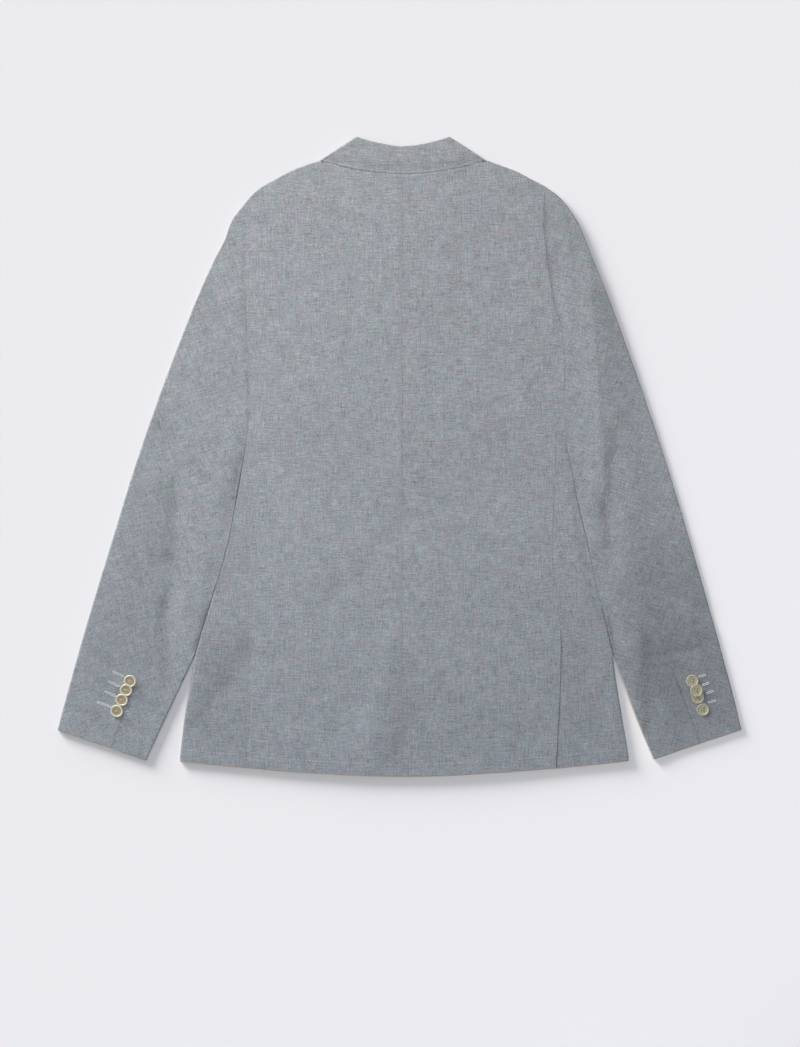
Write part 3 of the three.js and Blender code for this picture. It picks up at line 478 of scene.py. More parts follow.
def back_panel(side):
    """Half of the back: rows run from the hem to the upper edge and columns from the centre seam to the
    side seam and armhole. Past the neck the last rows turn over the shoulder, a quarter ellipse. The hem
    is turned up and sewn, so it is a little thicker up to its stitches, and each edge is rounded."""
    lay = LAYOUT[side]
    low, high = body_rows()
    rows = np.concatenate([low, high[1:]])
    edge_y = two_stretches(rows, hem_y(BACK_SEAM_X), lay.armhole_top[1] - FOLD_REACH)
    edge_x = np.where(rows < 1, lay.back_seam(edge_y), lay.armhole(edge_y)) - SEAM_GAP
    out = spread(np.full(len(rows), SEAM_GAP / 2), edge_x, 46)
    x = lay.sign * out
    turned = mix(NECK_TURN, 1, smoothstep(np.abs(x), *NECK_BLEND))
    reach = mix(NECK_REACH, FOLD_REACH, turned)
    hem = hem_y(x)
    top = body_top_y(x) - reach
    rows = rows[:, None]
    y = two_stretches(rows, hem, top)
    missed = np.where(rows < 1, 0, edge_y[:, None] - y[:, -1:])
    y = y + missed * smoothstep(out, out[:, -1:] - ARMHOLE_BLEND, out[:, -1:])
    z = top_height(x, y) + hem_relief(y - hem)
    z -= pressed(out - out[:, :1]) + pressed(out[:, -1:] - out)
    if side == "right":
        # the open vent's edge stands a little off the cloth beneath, most of all near the hem
        open_part = mix(0.25, 1, 1 - smoothstep(y, VENT_TOP_Y - 150, VENT_TOP_Y - 110))
        open_part = open_part * (1 - smoothstep(y, VENT_TOP_Y - 20, VENT_TOP_Y + 5))
        z += VENT_STAND_OFF * open_part * near(out[:, -1:] - out, VENT_STAND_OFF_HALF_WIDTH)
    turns = SHOULDER_TURNS * turned[-1:]
    last = np.stack([x[-1], y[-1] + reach[-1]], axis=-1)[None]
    under = front_under_height("left", -np.abs(x[-1]), last[0, :, 1])
    over = fold_points(last, np.array([[[0.0, -1.0]]]), reach[-1:], z[-1:], under[None], turns)
    return np.concatenate([np.stack([x, y, z], axis=-1), over])


def side_panel(side):
    """The side panel: tucked beneath the back, up the lap's slope, flat, over the side's half ellipse and
    along the underside to the front's seam. Rows run from the hem to the armpit."""
    lay = LAYOUT[side]
    rows = body_rows()[0][:, None]
    middle = mix(hem_y(SIDE_MIDDLE_X), ARMPIT_Y, rows)
    seam = lay.back_seam(mix(hem_y(BACK_SEAM_X), ARMPIT_Y, rows))
    edge = lay.body_edge(middle)
    lap = mix(VENT_LAP, SEAM_LAP, smoothstep(middle, VENT_TOP_Y, VENT_TOP_Y + 14))
    is_open = side == "right"
    open_vent = is_open * (1 - smoothstep(middle, VENT_TOP_Y - 40, VENT_TOP_Y + 5))
    slope = np.minimum(LAP_SLOPE + OPEN_LAP_SLOPE * open_vent, (edge - FOLD_REACH - seam) * 0.4)
    reach = lay.valley_reach(middle)
    tucked = mix(seam - lap, seam, np.linspace(0, 1, 7)[None])
    climb = mix(seam, seam + slope, np.linspace(0, 1, 9)[None, 1:])
    flat = mix(seam + slope, edge - reach, np.linspace(0, 1, 22)[None, 1:])
    out = np.hstack([tucked, climb, flat])
    x = lay.sign * out
    y = row_y(rows, x)
    hem = hem_y(x)
    drop = mix(LAP_DROP, OPEN_LAP_DROP, open_vent)
    z = top_height(x, y) - drop * (1 - smoothstep(out, seam, seam + slope))
    z += hem_relief(y - hem) - pressed(ARMPIT_Y - y)
    above = np.stack([x, y, z], axis=-1)
    edge_place = np.stack([lay.sign * edge, row_y(rows, lay.sign * edge)], axis=-1)
    inward = np.array([[[-lay.sign, 0.0]]])
    folded = fold_points(edge_place, inward, reach, z[:, -1:], 0.0, SIDE_TURNS)
    front_seam = front_seam_x(row_y(rows, FRONT_SEAM_X)) + SEAM_GAP
    out = mix(edge - reach, front_seam, np.linspace(0, 1, 20)[None])
    x = lay.sign * out
    y = row_y(rows, x, FRONT_HEM_INSET * smoothstep(edge - out, 0, 60))
    z = pressed(out - out[:, -1:]) + 0 * y
    return np.concatenate([above, folded, np.stack([x, y, z], axis=-1)], axis=1)


def front_panel(side):
    """A front on the underside, its rows from the hem to the shoulder and its columns from the side seam
    and armhole to its own edge. Its last rows turn up the shoulder to the seam. Creases of its own press
    the cloth up from the surface beneath, and every edge is rounded."""
    lay = LAYOUT[side]
    low, high = body_rows(84, 60)
    rows = np.concatenate([low, high[1:]])
    edge_y = mix(ARMPIT_Y, lay.armhole_top[1] - FOLD_REACH, np.maximum(rows - 1, 0))
    seam = front_seam_x(row_y(np.minimum(rows, 1), FRONT_SEAM_X))
    outer = np.where(rows < 1, seam, lay.armhole(edge_y))
    inner = front_edge_x(np.minimum(row_y(rows, 76.0, FRONT_HEM_INSET), 362.0))
    out = spread(outer - SEAM_GAP, inner, 44)
    x = lay.sign * out
    held_x = np.maximum(out, NECK_HALF_WIDTH * smoothstep(rows, 1.2, 1.9)[:, None])
    rows = rows[:, None]
    hem = hem_y(np.maximum(out, 0)) + FRONT_HEM_INSET
    top = body_top_y(held_x) - FOLD_REACH
    y = two_stretches(rows, hem, top)
    missed = np.where(rows < 1, 0, edge_y[:, None] - y[:, :1])
    y = y + missed * smoothstep(out, out[:, :1] - ARMHOLE_BLEND, out[:, :1])
    z = front_under_height(side, x, y)
    z += pressed(out - out[:, -1:]) + pressed(out[:, :1] - out) + pressed(y - hem, FRONT_HEM_ROUNDING)
    z += crumple(x, y, *FRONT_CRUMPLE) * smoothstep(out[:, :1] - out, 0, 30)
    last = np.stack([x[-1], y[-1] + FOLD_REACH], axis=-1)[None]
    height = top_height(x[-1:], last[..., 1])
    over = fold_points(last, np.array([[[0.0, -1.0]]]), FOLD_REACH, height, z[-1:], 1 - SHOULDER_TURNS)
    return np.concatenate([np.stack([x, y, z], axis=-1), over])


def inner_share(along):
    """The stations fan out from the armpit: a station's share down the sleeve's inner edge is a cubic of
    its share down the outer edge."""
    return FAN[0] * along + FAN[1] * along**2 + FAN[2] * along**3


def sleeve_place(side, along, aside):
    """A place on the sleeve's plane: along runs from the armhole to the cuff, and aside is the share of
    the way from the outer edge to the inner edge. Near the armhole the stations bend to its curve."""
    lay = LAYOUT[side]
    place = mix(lay.outer(along), lay.inner(inner_share(along)), aside[..., None])
    top_x, top_y = lay.armhole_top
    seam_y = mix(top_y, ARMPIT_Y, aside)
    bend = (1 - along) ** 3 * (lay.armhole(seam_y) - mix(top_x, lay.armhole(ARMPIT_Y), aside))
    return np.stack([lay.sign * (place[..., 0] + bend + SEAM_GAP), place[..., 1]], axis=-1)


def sleeve_panels(side):
    """The sleeve is a flattened tube of two panels. Each runs, at each station, from the hind seam on top
    over its own edge's half ellipse to the fore seam beneath. Both seams and the cuff's edge are rounded,
    and the cuff's turned-in hem shows as a dip along its stitches."""
    lay = LAYOUT[side]
    along = spread(0, SLEEVE_LENGTH, 150)[0][:, None] / SLEEVE_LENGTH
    outer = lay.outer(along[:, 0])
    inner = lay.inner(inner_share(along[:, 0]))
    width = np.linalg.norm(inner - outer, axis=1)[:, None]
    ahead = (inner - outer) / width * np.array([lay.sign, 1])
    hind = width * mix(HIND_SEAM_AT_ARMHOLE, lay.hind_share, along**2)
    fore = width * FORE_SEAM_SHARE
    from_armhole = along * SLEEVE_LENGTH
    cuff = (1 - along) * SLEEVE_LENGTH
    panels = []
    for part in ("top", "under"):
        is_top = part == "top"
        seam = hind - SEAM_GAP / 2 if is_top else hind + SEAM_GAP / 2
        reach = FOLD_REACH if is_top else lay.valley_reach(inner[:, 1])[:, None]
        limit = reach if is_top else width - reach
        aside = spread(seam[:, 0], np.broadcast_to(limit, width.shape)[:, 0], 24)[:, :-3]
        aside = np.hstack([aside, np.broadcast_to(limit, width.shape)])
        place = sleeve_place(side, np.broadcast_to(along, aside.shape), aside / width)
        x, y = place[..., 0], place[..., 1]
        z = top_height(x, y) - pressed(np.abs(aside - seam))
        z = z - pressed(from_armhole) - pressed(cuff, HEM_ROUNDING)
        z -= CUFF_STITCH_DIP * near(cuff - CUFF_TURN_IN, CUFF_STITCH_HALF_WIDTH)
        above = np.concatenate([place, z[..., None]], axis=-1)
        edge_share = 0.0 if is_top else 1.0
        edge = sleeve_place(side, along, np.full(along.shape, edge_share))
        inward = (ahead if is_top else -ahead)[:, None, :]
        folded = fold_points(edge, inward, reach, z[:, -1:], 0.0, SIDE_TURNS)
        end = fore - SEAM_GAP / 2 if is_top else fore + SEAM_GAP / 2
        aside = spread(np.broadcast_to(limit, width.shape)[:, 0], end[:, 0], 18)[:, 3:]
        aside = np.hstack([np.broadcast_to(limit, width.shape), aside])
        place = sleeve_place(side, np.broadcast_to(along, aside.shape), aside / width)
        from_edge = np.abs(aside - limit)
        z = crumple(place[..., 0], place[..., 1], *SLEEVE_CRUMPLE)
        z = z * smoothstep(from_edge, 0, 25) * smoothstep(np.abs(end - aside), 0, 20)
        z = z + pressed(np.abs(end - aside)) + pressed(cuff, FRONT_HEM_ROUNDING) + pressed(from_armhole)
        beneath = np.concatenate([place, z[..., None]], axis=-1)
        panels.append(np.concatenate([above, folded, beneath], axis=1))
    return panels


def fall_line_y(share):
    """y of the collar's fall edge on the back, a parabola of the share of its half width."""
    return mix(FALL_CENTRE_Y, FALL_CORNER[1], share**2)


def collar_strip():
    """The strip of the collar, from the left front end over the shoulder, along the back neck and down to
    the right front end. Returns the fold and fall lines' places and each station's turn and side: the
    turn is -1 on top, 2 beneath and from 0 to 1 round the shoulder."""
    share = np.linspace(1, 0.12, FRONT_STATIONS)[:, None]
    fold = np.vstack([
        mix(FOLD_CORNER - BELOW_SHOULDER, COLLAR_END_FOLD, share),
        np.tile(FOLD_CORNER + COLLAR_CORNER_REACH, (SHOULDER_STATIONS, 1)),
    ])
    fall = np.vstack([
        mix(FALL_CORNER - BELOW_SHOULDER, COLLAR_END_FALL, share),
        np.tile(FALL_CORNER, (SHOULDER_STATIONS, 1)),
    ])
    turn = np.concatenate([np.full(FRONT_STATIONS, 2.0), np.linspace(1, 0, SHOULDER_STATIONS)])
    share = np.linspace(-0.975, 0.975, NECK_STATIONS)
    fold_y = mix(FOLD_CENTRE_Y, FOLD_CORNER[1], np.abs(share) ** 1.6)
    neck_fold = np.stack([FOLD_CORNER[0] * share, fold_y], axis=-1)
    neck_fall = np.stack([FALL_CORNER[0] * share, fall_line_y(share)], axis=-1)
    fold = np.vstack([fold * [-1, 1], neck_fold, fold[::-1]])
    fall = np.vstack([fall * [-1, 1], neck_fall, fall[::-1]])
    sign = np.concatenate([np.full(len(turn), -1.0), np.sign(share), np.full(len(turn), 1.0)])
    turn = np.concatenate([turn, np.full(NECK_STATIONS, -1.0), turn[::-1]])
    return fold, fall, turn, sign


def toward_fall_edge(aside, width):
    return smoothstep(aside, width - COLLAR_PRESSED_WIDTH, width - 1)


def collar_points(aside, depth):
    """Places on the collar's strip: aside is the distance from the fold line and depth the distance
    inside the leaf's outer face. On top that face lies on the back, beneath it lies on the surface, and
    round the shoulder it is half an ellipse."""
    fold, fall, turn, sign = collar_strip()
    width = np.linalg.norm(fall - fold, axis=1)[:, None]
    ahead = (fall - fold) / width
    flat = fold[:, None, :] + ahead[:, None, :] * aside[..., None]
    x, y = flat[..., 0], flat[..., 1]
    # the leaf comes down to the back along its fall edge
    top = plain_height(x, y) + COLLAR_LIFT - COLLAR_EDGE_DROP * toward_fall_edge(aside, width)
    mode = turn[:, None] * np.ones_like(x)
    inward = np.stack([-sign[:, None] * np.abs(ahead[:, 1:]), -np.abs(ahead[:, :1])], axis=-1)
    wrapped = fold_points(flat, inward, FOLD_REACH, top, 0.0, np.clip(mode, 0, 1), depth)
    height = np.where(mode < 0, top - depth, depth)
    plain = np.stack([x, y, height], axis=-1)
    return np.where((mode < 0)[..., None] | (mode > 1.5)[..., None], plain, wrapped)


def collar_leaf():
    """The leaf rolls over at the fold line, half a circle from the stand's plane, and lies flat down to
    its fall edge, which is rounded and pressed thinner. Returns its points and its thickness."""
    fold, fall, _, _ = collar_strip()
    width = np.linalg.norm(fall - fold, axis=1)[:, None]
    angle = np.linspace(np.pi, 0, 12)[None]
    rolled = COLLAR_ROLL * (1 - np.sin(angle)) + 0 * width
    rolled_depth = COLLAR_ROLL * (1 - np.cos(angle)) + 0 * width
    flat = spread(np.full(len(width), COLLAR_ROLL), width[:, 0], 12)[:, 4:]
    depth = pressed(width - flat, 0.5) + 0.1 * near(width - flat - EDGE_STITCH_INSET, 1.5)
    aside = np.hstack([rolled, flat])
    thickness = mix(CLOTH, COLLAR_EDGE_CLOTH, toward_fall_edge(aside, width))
    return collar_points(aside, np.hstack([rolled_depth, depth])), thickness


def collar_stand():
    """The stand lies beneath the leaf, from just inside the fold to just short of the neck's seam."""
    fold, fall, turn, _ = collar_strip()
    width = np.linalg.norm(fall - fold, axis=1)[:, None]
    ahead = (fall - fold) / width
    trial = np.linspace(0, 1, 220)[None] * width
    place = fold[:, None] + ahead[:, None] * (trial + STAND_CLEAR)[..., None]
    x, y = np.abs(place[..., 0]), place[..., 1]
    is_top = (turn < 1)[:, None]
    beyond = np.where(is_top, y - body_top_y(x), front_edge_x(y) - x) < 0
    beyond |= x > NECK_HALF_WIDTH - STAND_CLEAR
    end = np.take_along_axis(trial, np.argmax(beyond, axis=1)[:, None], axis=1)
    start = np.full_like(end, STAND_DEPTH + 0.3)
    aside = mix(start, np.maximum(end, start + 1), np.linspace(0, 1, 8)[None])
    return collar_points(aside, np.full_like(aside, STAND_DEPTH + 0.25))


def lapel(side):
    """A lapel lies flat beneath its front, from the roll line to its own edge, which is rounded."""
    lay = LAYOUT[side]

    def outline(share):
        roll, edge = place_reader(LAPEL_ROLL)(share), place_reader(LAPEL_EDGE)(share)
        covered = LAYER_GAP - front_edge_x(roll[:, 1]) if side == "right" else FRONT_EDGE_X
        return roll, edge, np.maximum(roll[:, 0], covered)

    # it ends where its edge meets the roll line or goes in beneath the other front
    trial = np.linspace(0, 1, 400)
    _, edge, start = outline(trial)
    end_share = trial[edge[:, 0] - start > LAPEL_MIN_WIDTH].max()
    roll, edge, start = outline(np.linspace(0, end_share, LAPEL_STATIONS))
    start = start[:, None]
    end = np.maximum(edge[:, :1], start + 2)
    aside = spread(np.zeros(LAPEL_STATIONS), (end - start)[:, 0], 22)
    part = aside / (end - start)
    out = mix(start, end, part)
    y = mix(roll[:, 1:], edge[:, 1:], part)
    z = pressed(end - out, 0.9) + 0.2 * near(end - out - EDGE_STITCH_INSET, 1.4)
    return np.stack([lay.sign * out, y, z + 0 * y], axis=-1)


# Meshes

def placed(name, data):
    """A new object in the scene."""
    obj = bpy.data.objects.new(name, data)
    bpy.context.collection.objects.link(obj)
    return obj


def smooth_mesh(name, points, polygons, values):
    """A mesh from points in millimetres, with values carried by its points."""
    mesh = bpy.data.meshes.new(name)
    mesh.from_pydata((points * MM).tolist(), [], polygons)
    for key, value in values.items():
        attribute = mesh.attributes.new(key, "FLOAT", "POINT")
        attribute.data.foreach_set("value", value)
    mesh.shade_smooth()
    return mesh


def grid_faces(rows, columns, first=0, wrap=False):
    """Quads of a grid of points that starts at the given index, joined round where it wraps."""
    i, j = np.meshgrid(np.arange(rows - 1), np.arange(columns if wrap else columns - 1), indexing="ij")
    k = (j + 1) % columns
    corners = [i * columns + j, i * columns + k, (i + 1) * columns + k, (i + 1) * columns + j]
    return first + np.stack(corners, axis=-1).reshape(-1, 4)


def outward_normals(grid, facing, probe):
    """The grid's normals and their sense: facing is +1 where the cloth faces up halfway along its rows, at
    the probe's share of its columns, and -1 where it faces down."""
    n = np.cross(np.gradient(grid, axis=1), np.gradient(grid, axis=0))
    n /= np.maximum(np.linalg.norm(n, axis=-1, keepdims=True), 1e-9)
    rows, columns = grid.shape[:2]
    sense = np.sign(n[rows // 2, int(columns * probe), 2]) * facing
    return sense * n, sense


def face_areas(grid):
    one = grid[1:, 1:] - grid[:-1, :-1]
    other = grid[1:, :-1] - grid[:-1, 1:]
    return 0.5 * np.linalg.norm(np.cross(one, other), axis=-1)


def cloth_wall(name, outer, facing, thickness, uv, values, probe=0.12):
    """A closed wall of cloth: the outer grid, the same grid moved inwards along its normals, and a band
    round the rim. Its UV is in metres."""
    normal, sense = outward_normals(outer, facing, probe)
    rows, columns = outer.shape[:2]
    inner = outer - np.broadcast_to(thickness, (rows, columns))[..., None] * normal
    total = rows * columns
    front = grid_faces(rows, columns)
    back = grid_faces(rows, columns, total)[:, ::-1]
    rim = np.concatenate([
        np.arange(columns), columns * np.arange(1, rows) + columns - 1,
        (rows - 1) * columns + np.arange(columns - 2, -1, -1), columns * np.arange(rows - 2, 0, -1),
    ])
    following = np.roll(rim, -1)
    band = np.stack([following, rim, rim + total, following + total], axis=-1)
    faces = np.concatenate([front, back, band])
    if sense < 0:
        faces = faces[:, ::-1]
    points = np.concatenate([outer.reshape(-1, 3), inner.reshape(-1, 3)])
    twice = {}
    for key, value in values.items():
        twice[key] = np.tile(np.broadcast_to(value, (rows, columns)).ravel(), 2)
    mesh = smooth_mesh(name, points, faces.tolist(), twice)
    mesh.set_sharp_from_angle(angle=math.radians(60))
    corner = np.empty(len(mesh.loops), int)
    mesh.loops.foreach_get("vertex_index", corner)
    layer = mesh.uv_layers.new(name="cloth")
    layer.data.foreach_set("uv", (np.tile(uv.reshape(-1, 2), (2, 1))[corner] * MM).ravel())
    return placed(name, mesh)


def turned_uv(grid, angle, offset):
    """The cloth's own directions: the place on the ground plane, turned to the panel's grain, and a share
    of the height, so that the weave isn't smeared down an edge."""
    x, y, z = grid[..., 0], grid[..., 1], grid[..., 2]
    u = x * math.cos(angle) + y * math.sin(angle)
    v = -x * math.sin(angle) + y * math.cos(angle)
    return np.stack([u + offset[0] + HEIGHT_IN_UV * z, v + offset[1] + HEIGHT_IN_UV * z], axis=-1)


def declare_cloth(obj, grid, node):
    """Works out the panel's cloth area, which is not used further, puts the panel under the root and hides
    its part.
    """
    area = float(face_areas(grid).sum()) * MM**2
    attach(obj, "root")
    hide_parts(node)


# Finishes

class Wire:
    """A shader socket that adds Math nodes where it is used in a sum, product or difference."""

    def __init__(self, tree, socket):
        self.tree, self.socket = tree, socket

    def maths(self, operation, first, second=0.0):
        return self.tree.node("ShaderNodeMath", dict(operation=operation), {0: first, 1: second})

    def __add__(self, other):
        return self.maths("ADD", self, other)

    def __sub__(self, other):
        return self.maths("SUBTRACT", self, other)

    def __mul__(self, other):
        return self.maths("MULTIPLY", self, other)

    def __rsub__(self, other):
        return self.maths("SUBTRACT", other, self)

    __radd__ = __add__
    __rmul__ = __mul__

    def clipped(self):
        return self.tree.node("ShaderNodeClamp", {}, {"Value": self}, "Result")

    def above(self, low, high):
        """0 below the first value, 1 above the second, smooth between."""
        return self.tree.node("ShaderNodeMapRange", dict(interpolation_type="SMOOTHSTEP"),
                              {"Value": self, "From Min": low, "From Max": high}, "Result")


class Nodes:
    """A node tree and a method that adds nodes to it."""

    def __init__(self, tree):
        self.nodes, self.links = tree.nodes, tree.links

    def node(self, kind, settings, inputs, output=0):
        made = self.nodes.new(kind)
        for key, value in settings.items():
            setattr(made, key, value)
        for key, value in inputs.items():
            self.put(made.inputs[key], value)
        return Wire(self, made.outputs[output])

    def put(self, socket, value):
        if isinstance(value, Wire):
            self.links.new(value.socket, socket)
        else:
            socket.default_value = value


class Finish(Nodes):
    """A material with one Principled shader."""

    def __init__(self, name, **constants):
        self.material = bpy.data.materials.new(name)
        self.material.use_nodes = True
        super().__init__(self.material.node_tree)
        self.shader = self.nodes["Principled BSDF"]
        for socket, value in constants.items():
            self.shader.inputs[socket.replace("_", " ")].default_value = value

    def feed(self, socket, value):
        self.put(self.shader.inputs[socket], value)

    def value_of(self, name):
        return self.node("ShaderNodeAttribute", dict(attribute_name=name), {}, "Fac")

    def own_place(self):
        return self.node("ShaderNodeTexCoord", {}, {}, "Object")

    def times(self, first, second):
        """Two colours or vectors multiplied part by part."""
        return self.node("ShaderNodeVectorMath", dict(operation="MULTIPLY"), {0: first, 1: second})

    def vector(self, x, y, z):
        return self.node("ShaderNodeCombineXYZ", {}, {0: x, 1: y, 2: z})

    def noise(self, place, stretch, scale, detail=2.0, roughness=0.5):
        """Noise round zero, from about -1 to 1, at a scale per metre, stretched along u and v."""
        inputs = {"Vector": self.times(place, (*stretch, 1.0)), "Scale": scale,
                  "Detail": detail, "Roughness": roughness}
        level = self.node("ShaderNodeTexNoise", dict(noise_dimensions="2D"), inputs, "Fac")
        return (level - 0.5) * 2.6

    def wave(self, place, direction, scale, distortion=1.0, detail=2.0):
        """Waves from 0 to 1 along a direction."""
        inputs = {"Vector": place, "Scale": scale, "Distortion": distortion, "Detail": detail}
        return self.node("ShaderNodeTexWave", dict(bands_direction=direction), inputs, "Fac")

    def blend(self, share, first, second):
        """Colours mixed by a share."""
        return self.node("ShaderNodeMix", dict(data_type="RGBA"), {0: share, 6: first, 7: second}, 2)

    def brightened(self, colour, amount):
        """A colour times one value, by Vector Math so that its hue stays."""
        colour = colour if isinstance(colour, Wire) else colour[:3]
        return self.times(colour, self.vector(amount, amount, amount))

    def bump(self, height, distance, strength=1.0):
        inputs = {"Height": height, "Distance": distance, "Strength": strength}
        self.feed("Normal", self.node("ShaderNodeBump", {}, inputs, "Normal"))


def linear(red, green, blue):
    """A colour from 0 to 255 as shown on a screen, made linear."""
    return tuple(((c / 255 + 0.055) / 1.055) ** 2.4 for c in (red, green, blue)) + (1.0,)


CLOTH_COLOUR = linear(144, 149, 155)
CLOTH_GREEN = linear(144, 153, 152)
CLOTH_PINK = linear(151, 147, 155)
TAN_EDGE_COLOUR = linear(212, 188, 164)
SEAM_COLOUR = linear(150, 146, 149)
YARN_PITCH = 0.00055
# a wave texture of scale 1 repeats every 0.314 units
WAVE_PERIOD = 0.314


def chambray():
    """Grey-blue chambray: slubs along warp and weft, a fine yarn relief, specks and faint tinted blotches.
    The points' values give painted shade beside seams, in creases and patches and on pressed edges, painted
    light where they are negative, the pinkish seam band and the tan line along the hem, the cuffs and part
    of the right sleeve's edge."""
    f = Finish("chambray", Roughness=0.86, Sheen_Weight=0.18, Sheen_Roughness=0.45, IOR=1.4)
    place = f.node("ShaderNodeUVMap", dict(uv_map="cloth"), {}, "UV")
    weft = f.noise(place, (1, 7), 95, 2.5, 0.6)
    warp = f.noise(place, (7, 1), 90, 2.5, 0.6)
    long_weft = f.noise(place, (1, 12), 34, 1.5)
    long_warp = f.noise(place, (12, 1), 30, 1.5)
    specks = f.noise(place, (1, 1), 620, 1.0)
    bright = f.noise(place, (1, 2.6), 310, 0.5).above(1.02, 1.32)
    yarn_across, yarn_along = (f.wave(place, way, WAVE_PERIOD / YARN_PITCH, 1.2, 1.0) for way in "XY")
    yarns = yarn_across + yarn_along - 1.0
    blotch = f.noise(place, (1, 1), 55, 1.0)
    drift = f.noise(place, (1, 1), 9, 1.0)
    tint = f.noise(place, (1.3, 1), 62, 2.0)
    other_tint = f.noise(place, (1, 1.4), 71, 2.0)
    colour = f.blend((tint * 1.1 + 0.1).clipped(), CLOTH_COLOUR, CLOTH_GREEN)
    colour = f.blend((other_tint * 1.1 + 0.1).clipped(), colour, CLOTH_PINK)
    light = (weft * 0.27 + warp * 0.24 + long_weft * 0.10 + long_warp * 0.09 + specks * 0.30
             + yarns * 0.04 + blotch * 0.085 + drift * 0.03 + bright * 0.30 + 1.0)
    # painted shade from the points' values, and painted light where they are negative
    light = light * (1.0 - f.value_of("shade"))
    colour = f.brightened(colour, light)
    # the cloth is a little bluer towards the hem
    bluer = f.node("ShaderNodeSeparateXYZ", {}, {"Vector": f.own_place()}, "Y") * -0.05 + 0.008
    colour = f.times(colour, f.vector(bluer * -0.7 + 1.0, 1.0, bluer + 1.0))
    colour = f.blend(f.value_of("seam"), colour, SEAM_COLOUR)
    colour = f.blend(f.value_of("tan_edge"), colour, TAN_EDGE_COLOUR)
    f.feed("Base Color", colour)
    f.bump(weft * 0.5 + warp * 0.5 + yarns * 0.35 + specks * 0.25, 0.00035, 0.55)
    return f.material


def thread(name, colour):
    """Twisted sewing thread: a slanting wave along its length, with a little unevenness."""
    f = Finish(name, Roughness=0.6, Sheen_Weight=0.2)
    place = f.own_place()
    twist = f.wave(place, "DIAGONAL", 700.0)
    uneven = f.noise(place, (1, 1), 900, 1.0)
    f.feed("Base Color", f.brightened(colour, twist * 0.16 + uneven * 0.08 + 0.9))
    f.bump(twist, 0.0001, 0.6)
    return f.material


HORN_RIM = linear(190, 184, 158)
HORN_DISH = linear(158, 148, 122)
HORN_STREAK = linear(134, 122, 94)
# painted light on the left cuff buttons and painted shade on the right ones
HORN_PAINTED_LIGHT_AND_SHADE = {"left": 1.2, "right": 0.66}


def horn():
    """Pale horn: a creamy rim round an olive-brown dish, with streaks that run across the button."""
    f = Finish("horn", Roughness=0.32, Coat_Weight=0.35, Coat_Roughness=0.2, IOR=1.54)
    place = f.own_place()
    streaks = f.noise(place, (0.35, 1), 520, 3.0, 0.6)
    clouds = f.noise(place, (1, 1), 240, 2.0)
    rim = f.value_of("rim")
    dish = f.blend((streaks * 0.7 + clouds * 0.4 + 0.35).clipped(), HORN_DISH, HORN_STREAK)
    colour = f.blend((rim + clouds * 0.1).clipped(), dish, HORN_RIM)
    pale = f.value_of("painted_light_and_shade")
    # painted light and shade: the horn's colour is scaled by the points' level, paler on the left buttons
    # and darker on the right, and the darker it is made the yellower
    f.feed("Base Color", f.times(colour, f.vector(pale, pale, pale * 1.35 - 0.32)))
    f.feed("Roughness", streaks * 0.05 + 0.34)
    f.bump(streaks, 0.00008, 0.4)
    return f.material


# The key lamp in metres and watts, its share of the light at the garment's middle, and the pale floor
LIT_PLACE = (0, -0.05, 0)
KEY_PLACE = (-2.3, 2.2, 1.15)
KEY_RADIUS = 0.85
KEY_WATTS = 750
KEY_COLOUR = (1.0, 0.993, 0.965)
KEY_SHARE = 0.475
FLOOR_LIMIT = 1.24
FLOOR_COLOUR = linear(228, 227, 231)


def floor_finish():
    """Pale paper. It is a little deeper where the lamp is nearer, by the lamp's own falloff with the cube
    of the distance, so the sheet reads as one tone round the garment."""
    f = Finish("floor", Roughness=0.95)
    place = f.own_place()
    away = f.node("ShaderNodeVectorMath", dict(operation="DISTANCE"), {0: place, 1: KEY_PLACE}, "Value")
    away = away * (1 / math.dist(KEY_PLACE, LIT_PLACE))
    cubed = away.maths("POWER", away, -3.0)
    level = cubed.maths("DIVIDE", 1.0, cubed * KEY_SHARE + (1 - KEY_SHARE))
    level = level.maths("MINIMUM", level, FLOOR_LIMIT)
    grain = f.noise(place, (1, 1), 3, 1.0) * 0.004 + 1.0
    f.feed("Base Color", f.brightened(FLOOR_COLOUR, level * grain))
    return f.material


# Making the pieces

def body_values(grid, side, part):
    """Painted shade, seam band and tan line at the body's points: painted shade where seams and vents lie
    deep, with painted light under the collar's fall edge, the pinkish band along the centre-back seam, and
    the tan line along the hem's lower edge."""
    x, y = grid[..., 0], grid[..., 1]
    lay = LAYOUT[side]
    out = lay.sign * x
    above_hem = y - hem_y(x)
    shade = 0.05 * near(above_hem - HEM_TURN_UP, 1.5)
    seam = np.zeros_like(x)
    if part == "back":
        shade = shade + 0.07 * near(x - SEAM_BAND_X, 2.0)
        seam = 0.3 * near(x - SEAM_BAND_X, 1.8)
        # painted shade on the back below the collar's fall edge, and right beside that edge a narrow band
        # of painted light that pales the collar's cast shadow
        fall_y = fall_line_y(np.minimum(np.abs(x) / FALL_CORNER[0], 1))
        shade = shade + 0.03 * near(fall_y - y, 7) - 0.22 * near(fall_y - y - 0.6, 1.1)
    if part == "side":
        beside = out - lay.back_seam(np.minimum(y, ARMPIT_Y))
        open_vent = 1 - smoothstep(y, VENT_TOP_Y - 10, VENT_TOP_Y + 5)
        is_upper = grid[..., 2] > UPPER_SIDE_LEVEL
        # painted shade on the right vent's climb, which faces the lamp, and a wider painted shade beside
        # the left vent
        vent_shade = 0.45 * near(beside - 0.2, 0.5) if side == "right" else 0.05 * near(beside - 9, 9)
        shade = shade + vent_shade * open_vent * is_upper
        shade = shade + 0.03 * smoothstep(beside, 0, 3)
    tan_edge = 0.9 * near(above_hem, 0.9)
    return dict(shade=shade, seam=seam, tan_edge=tan_edge)


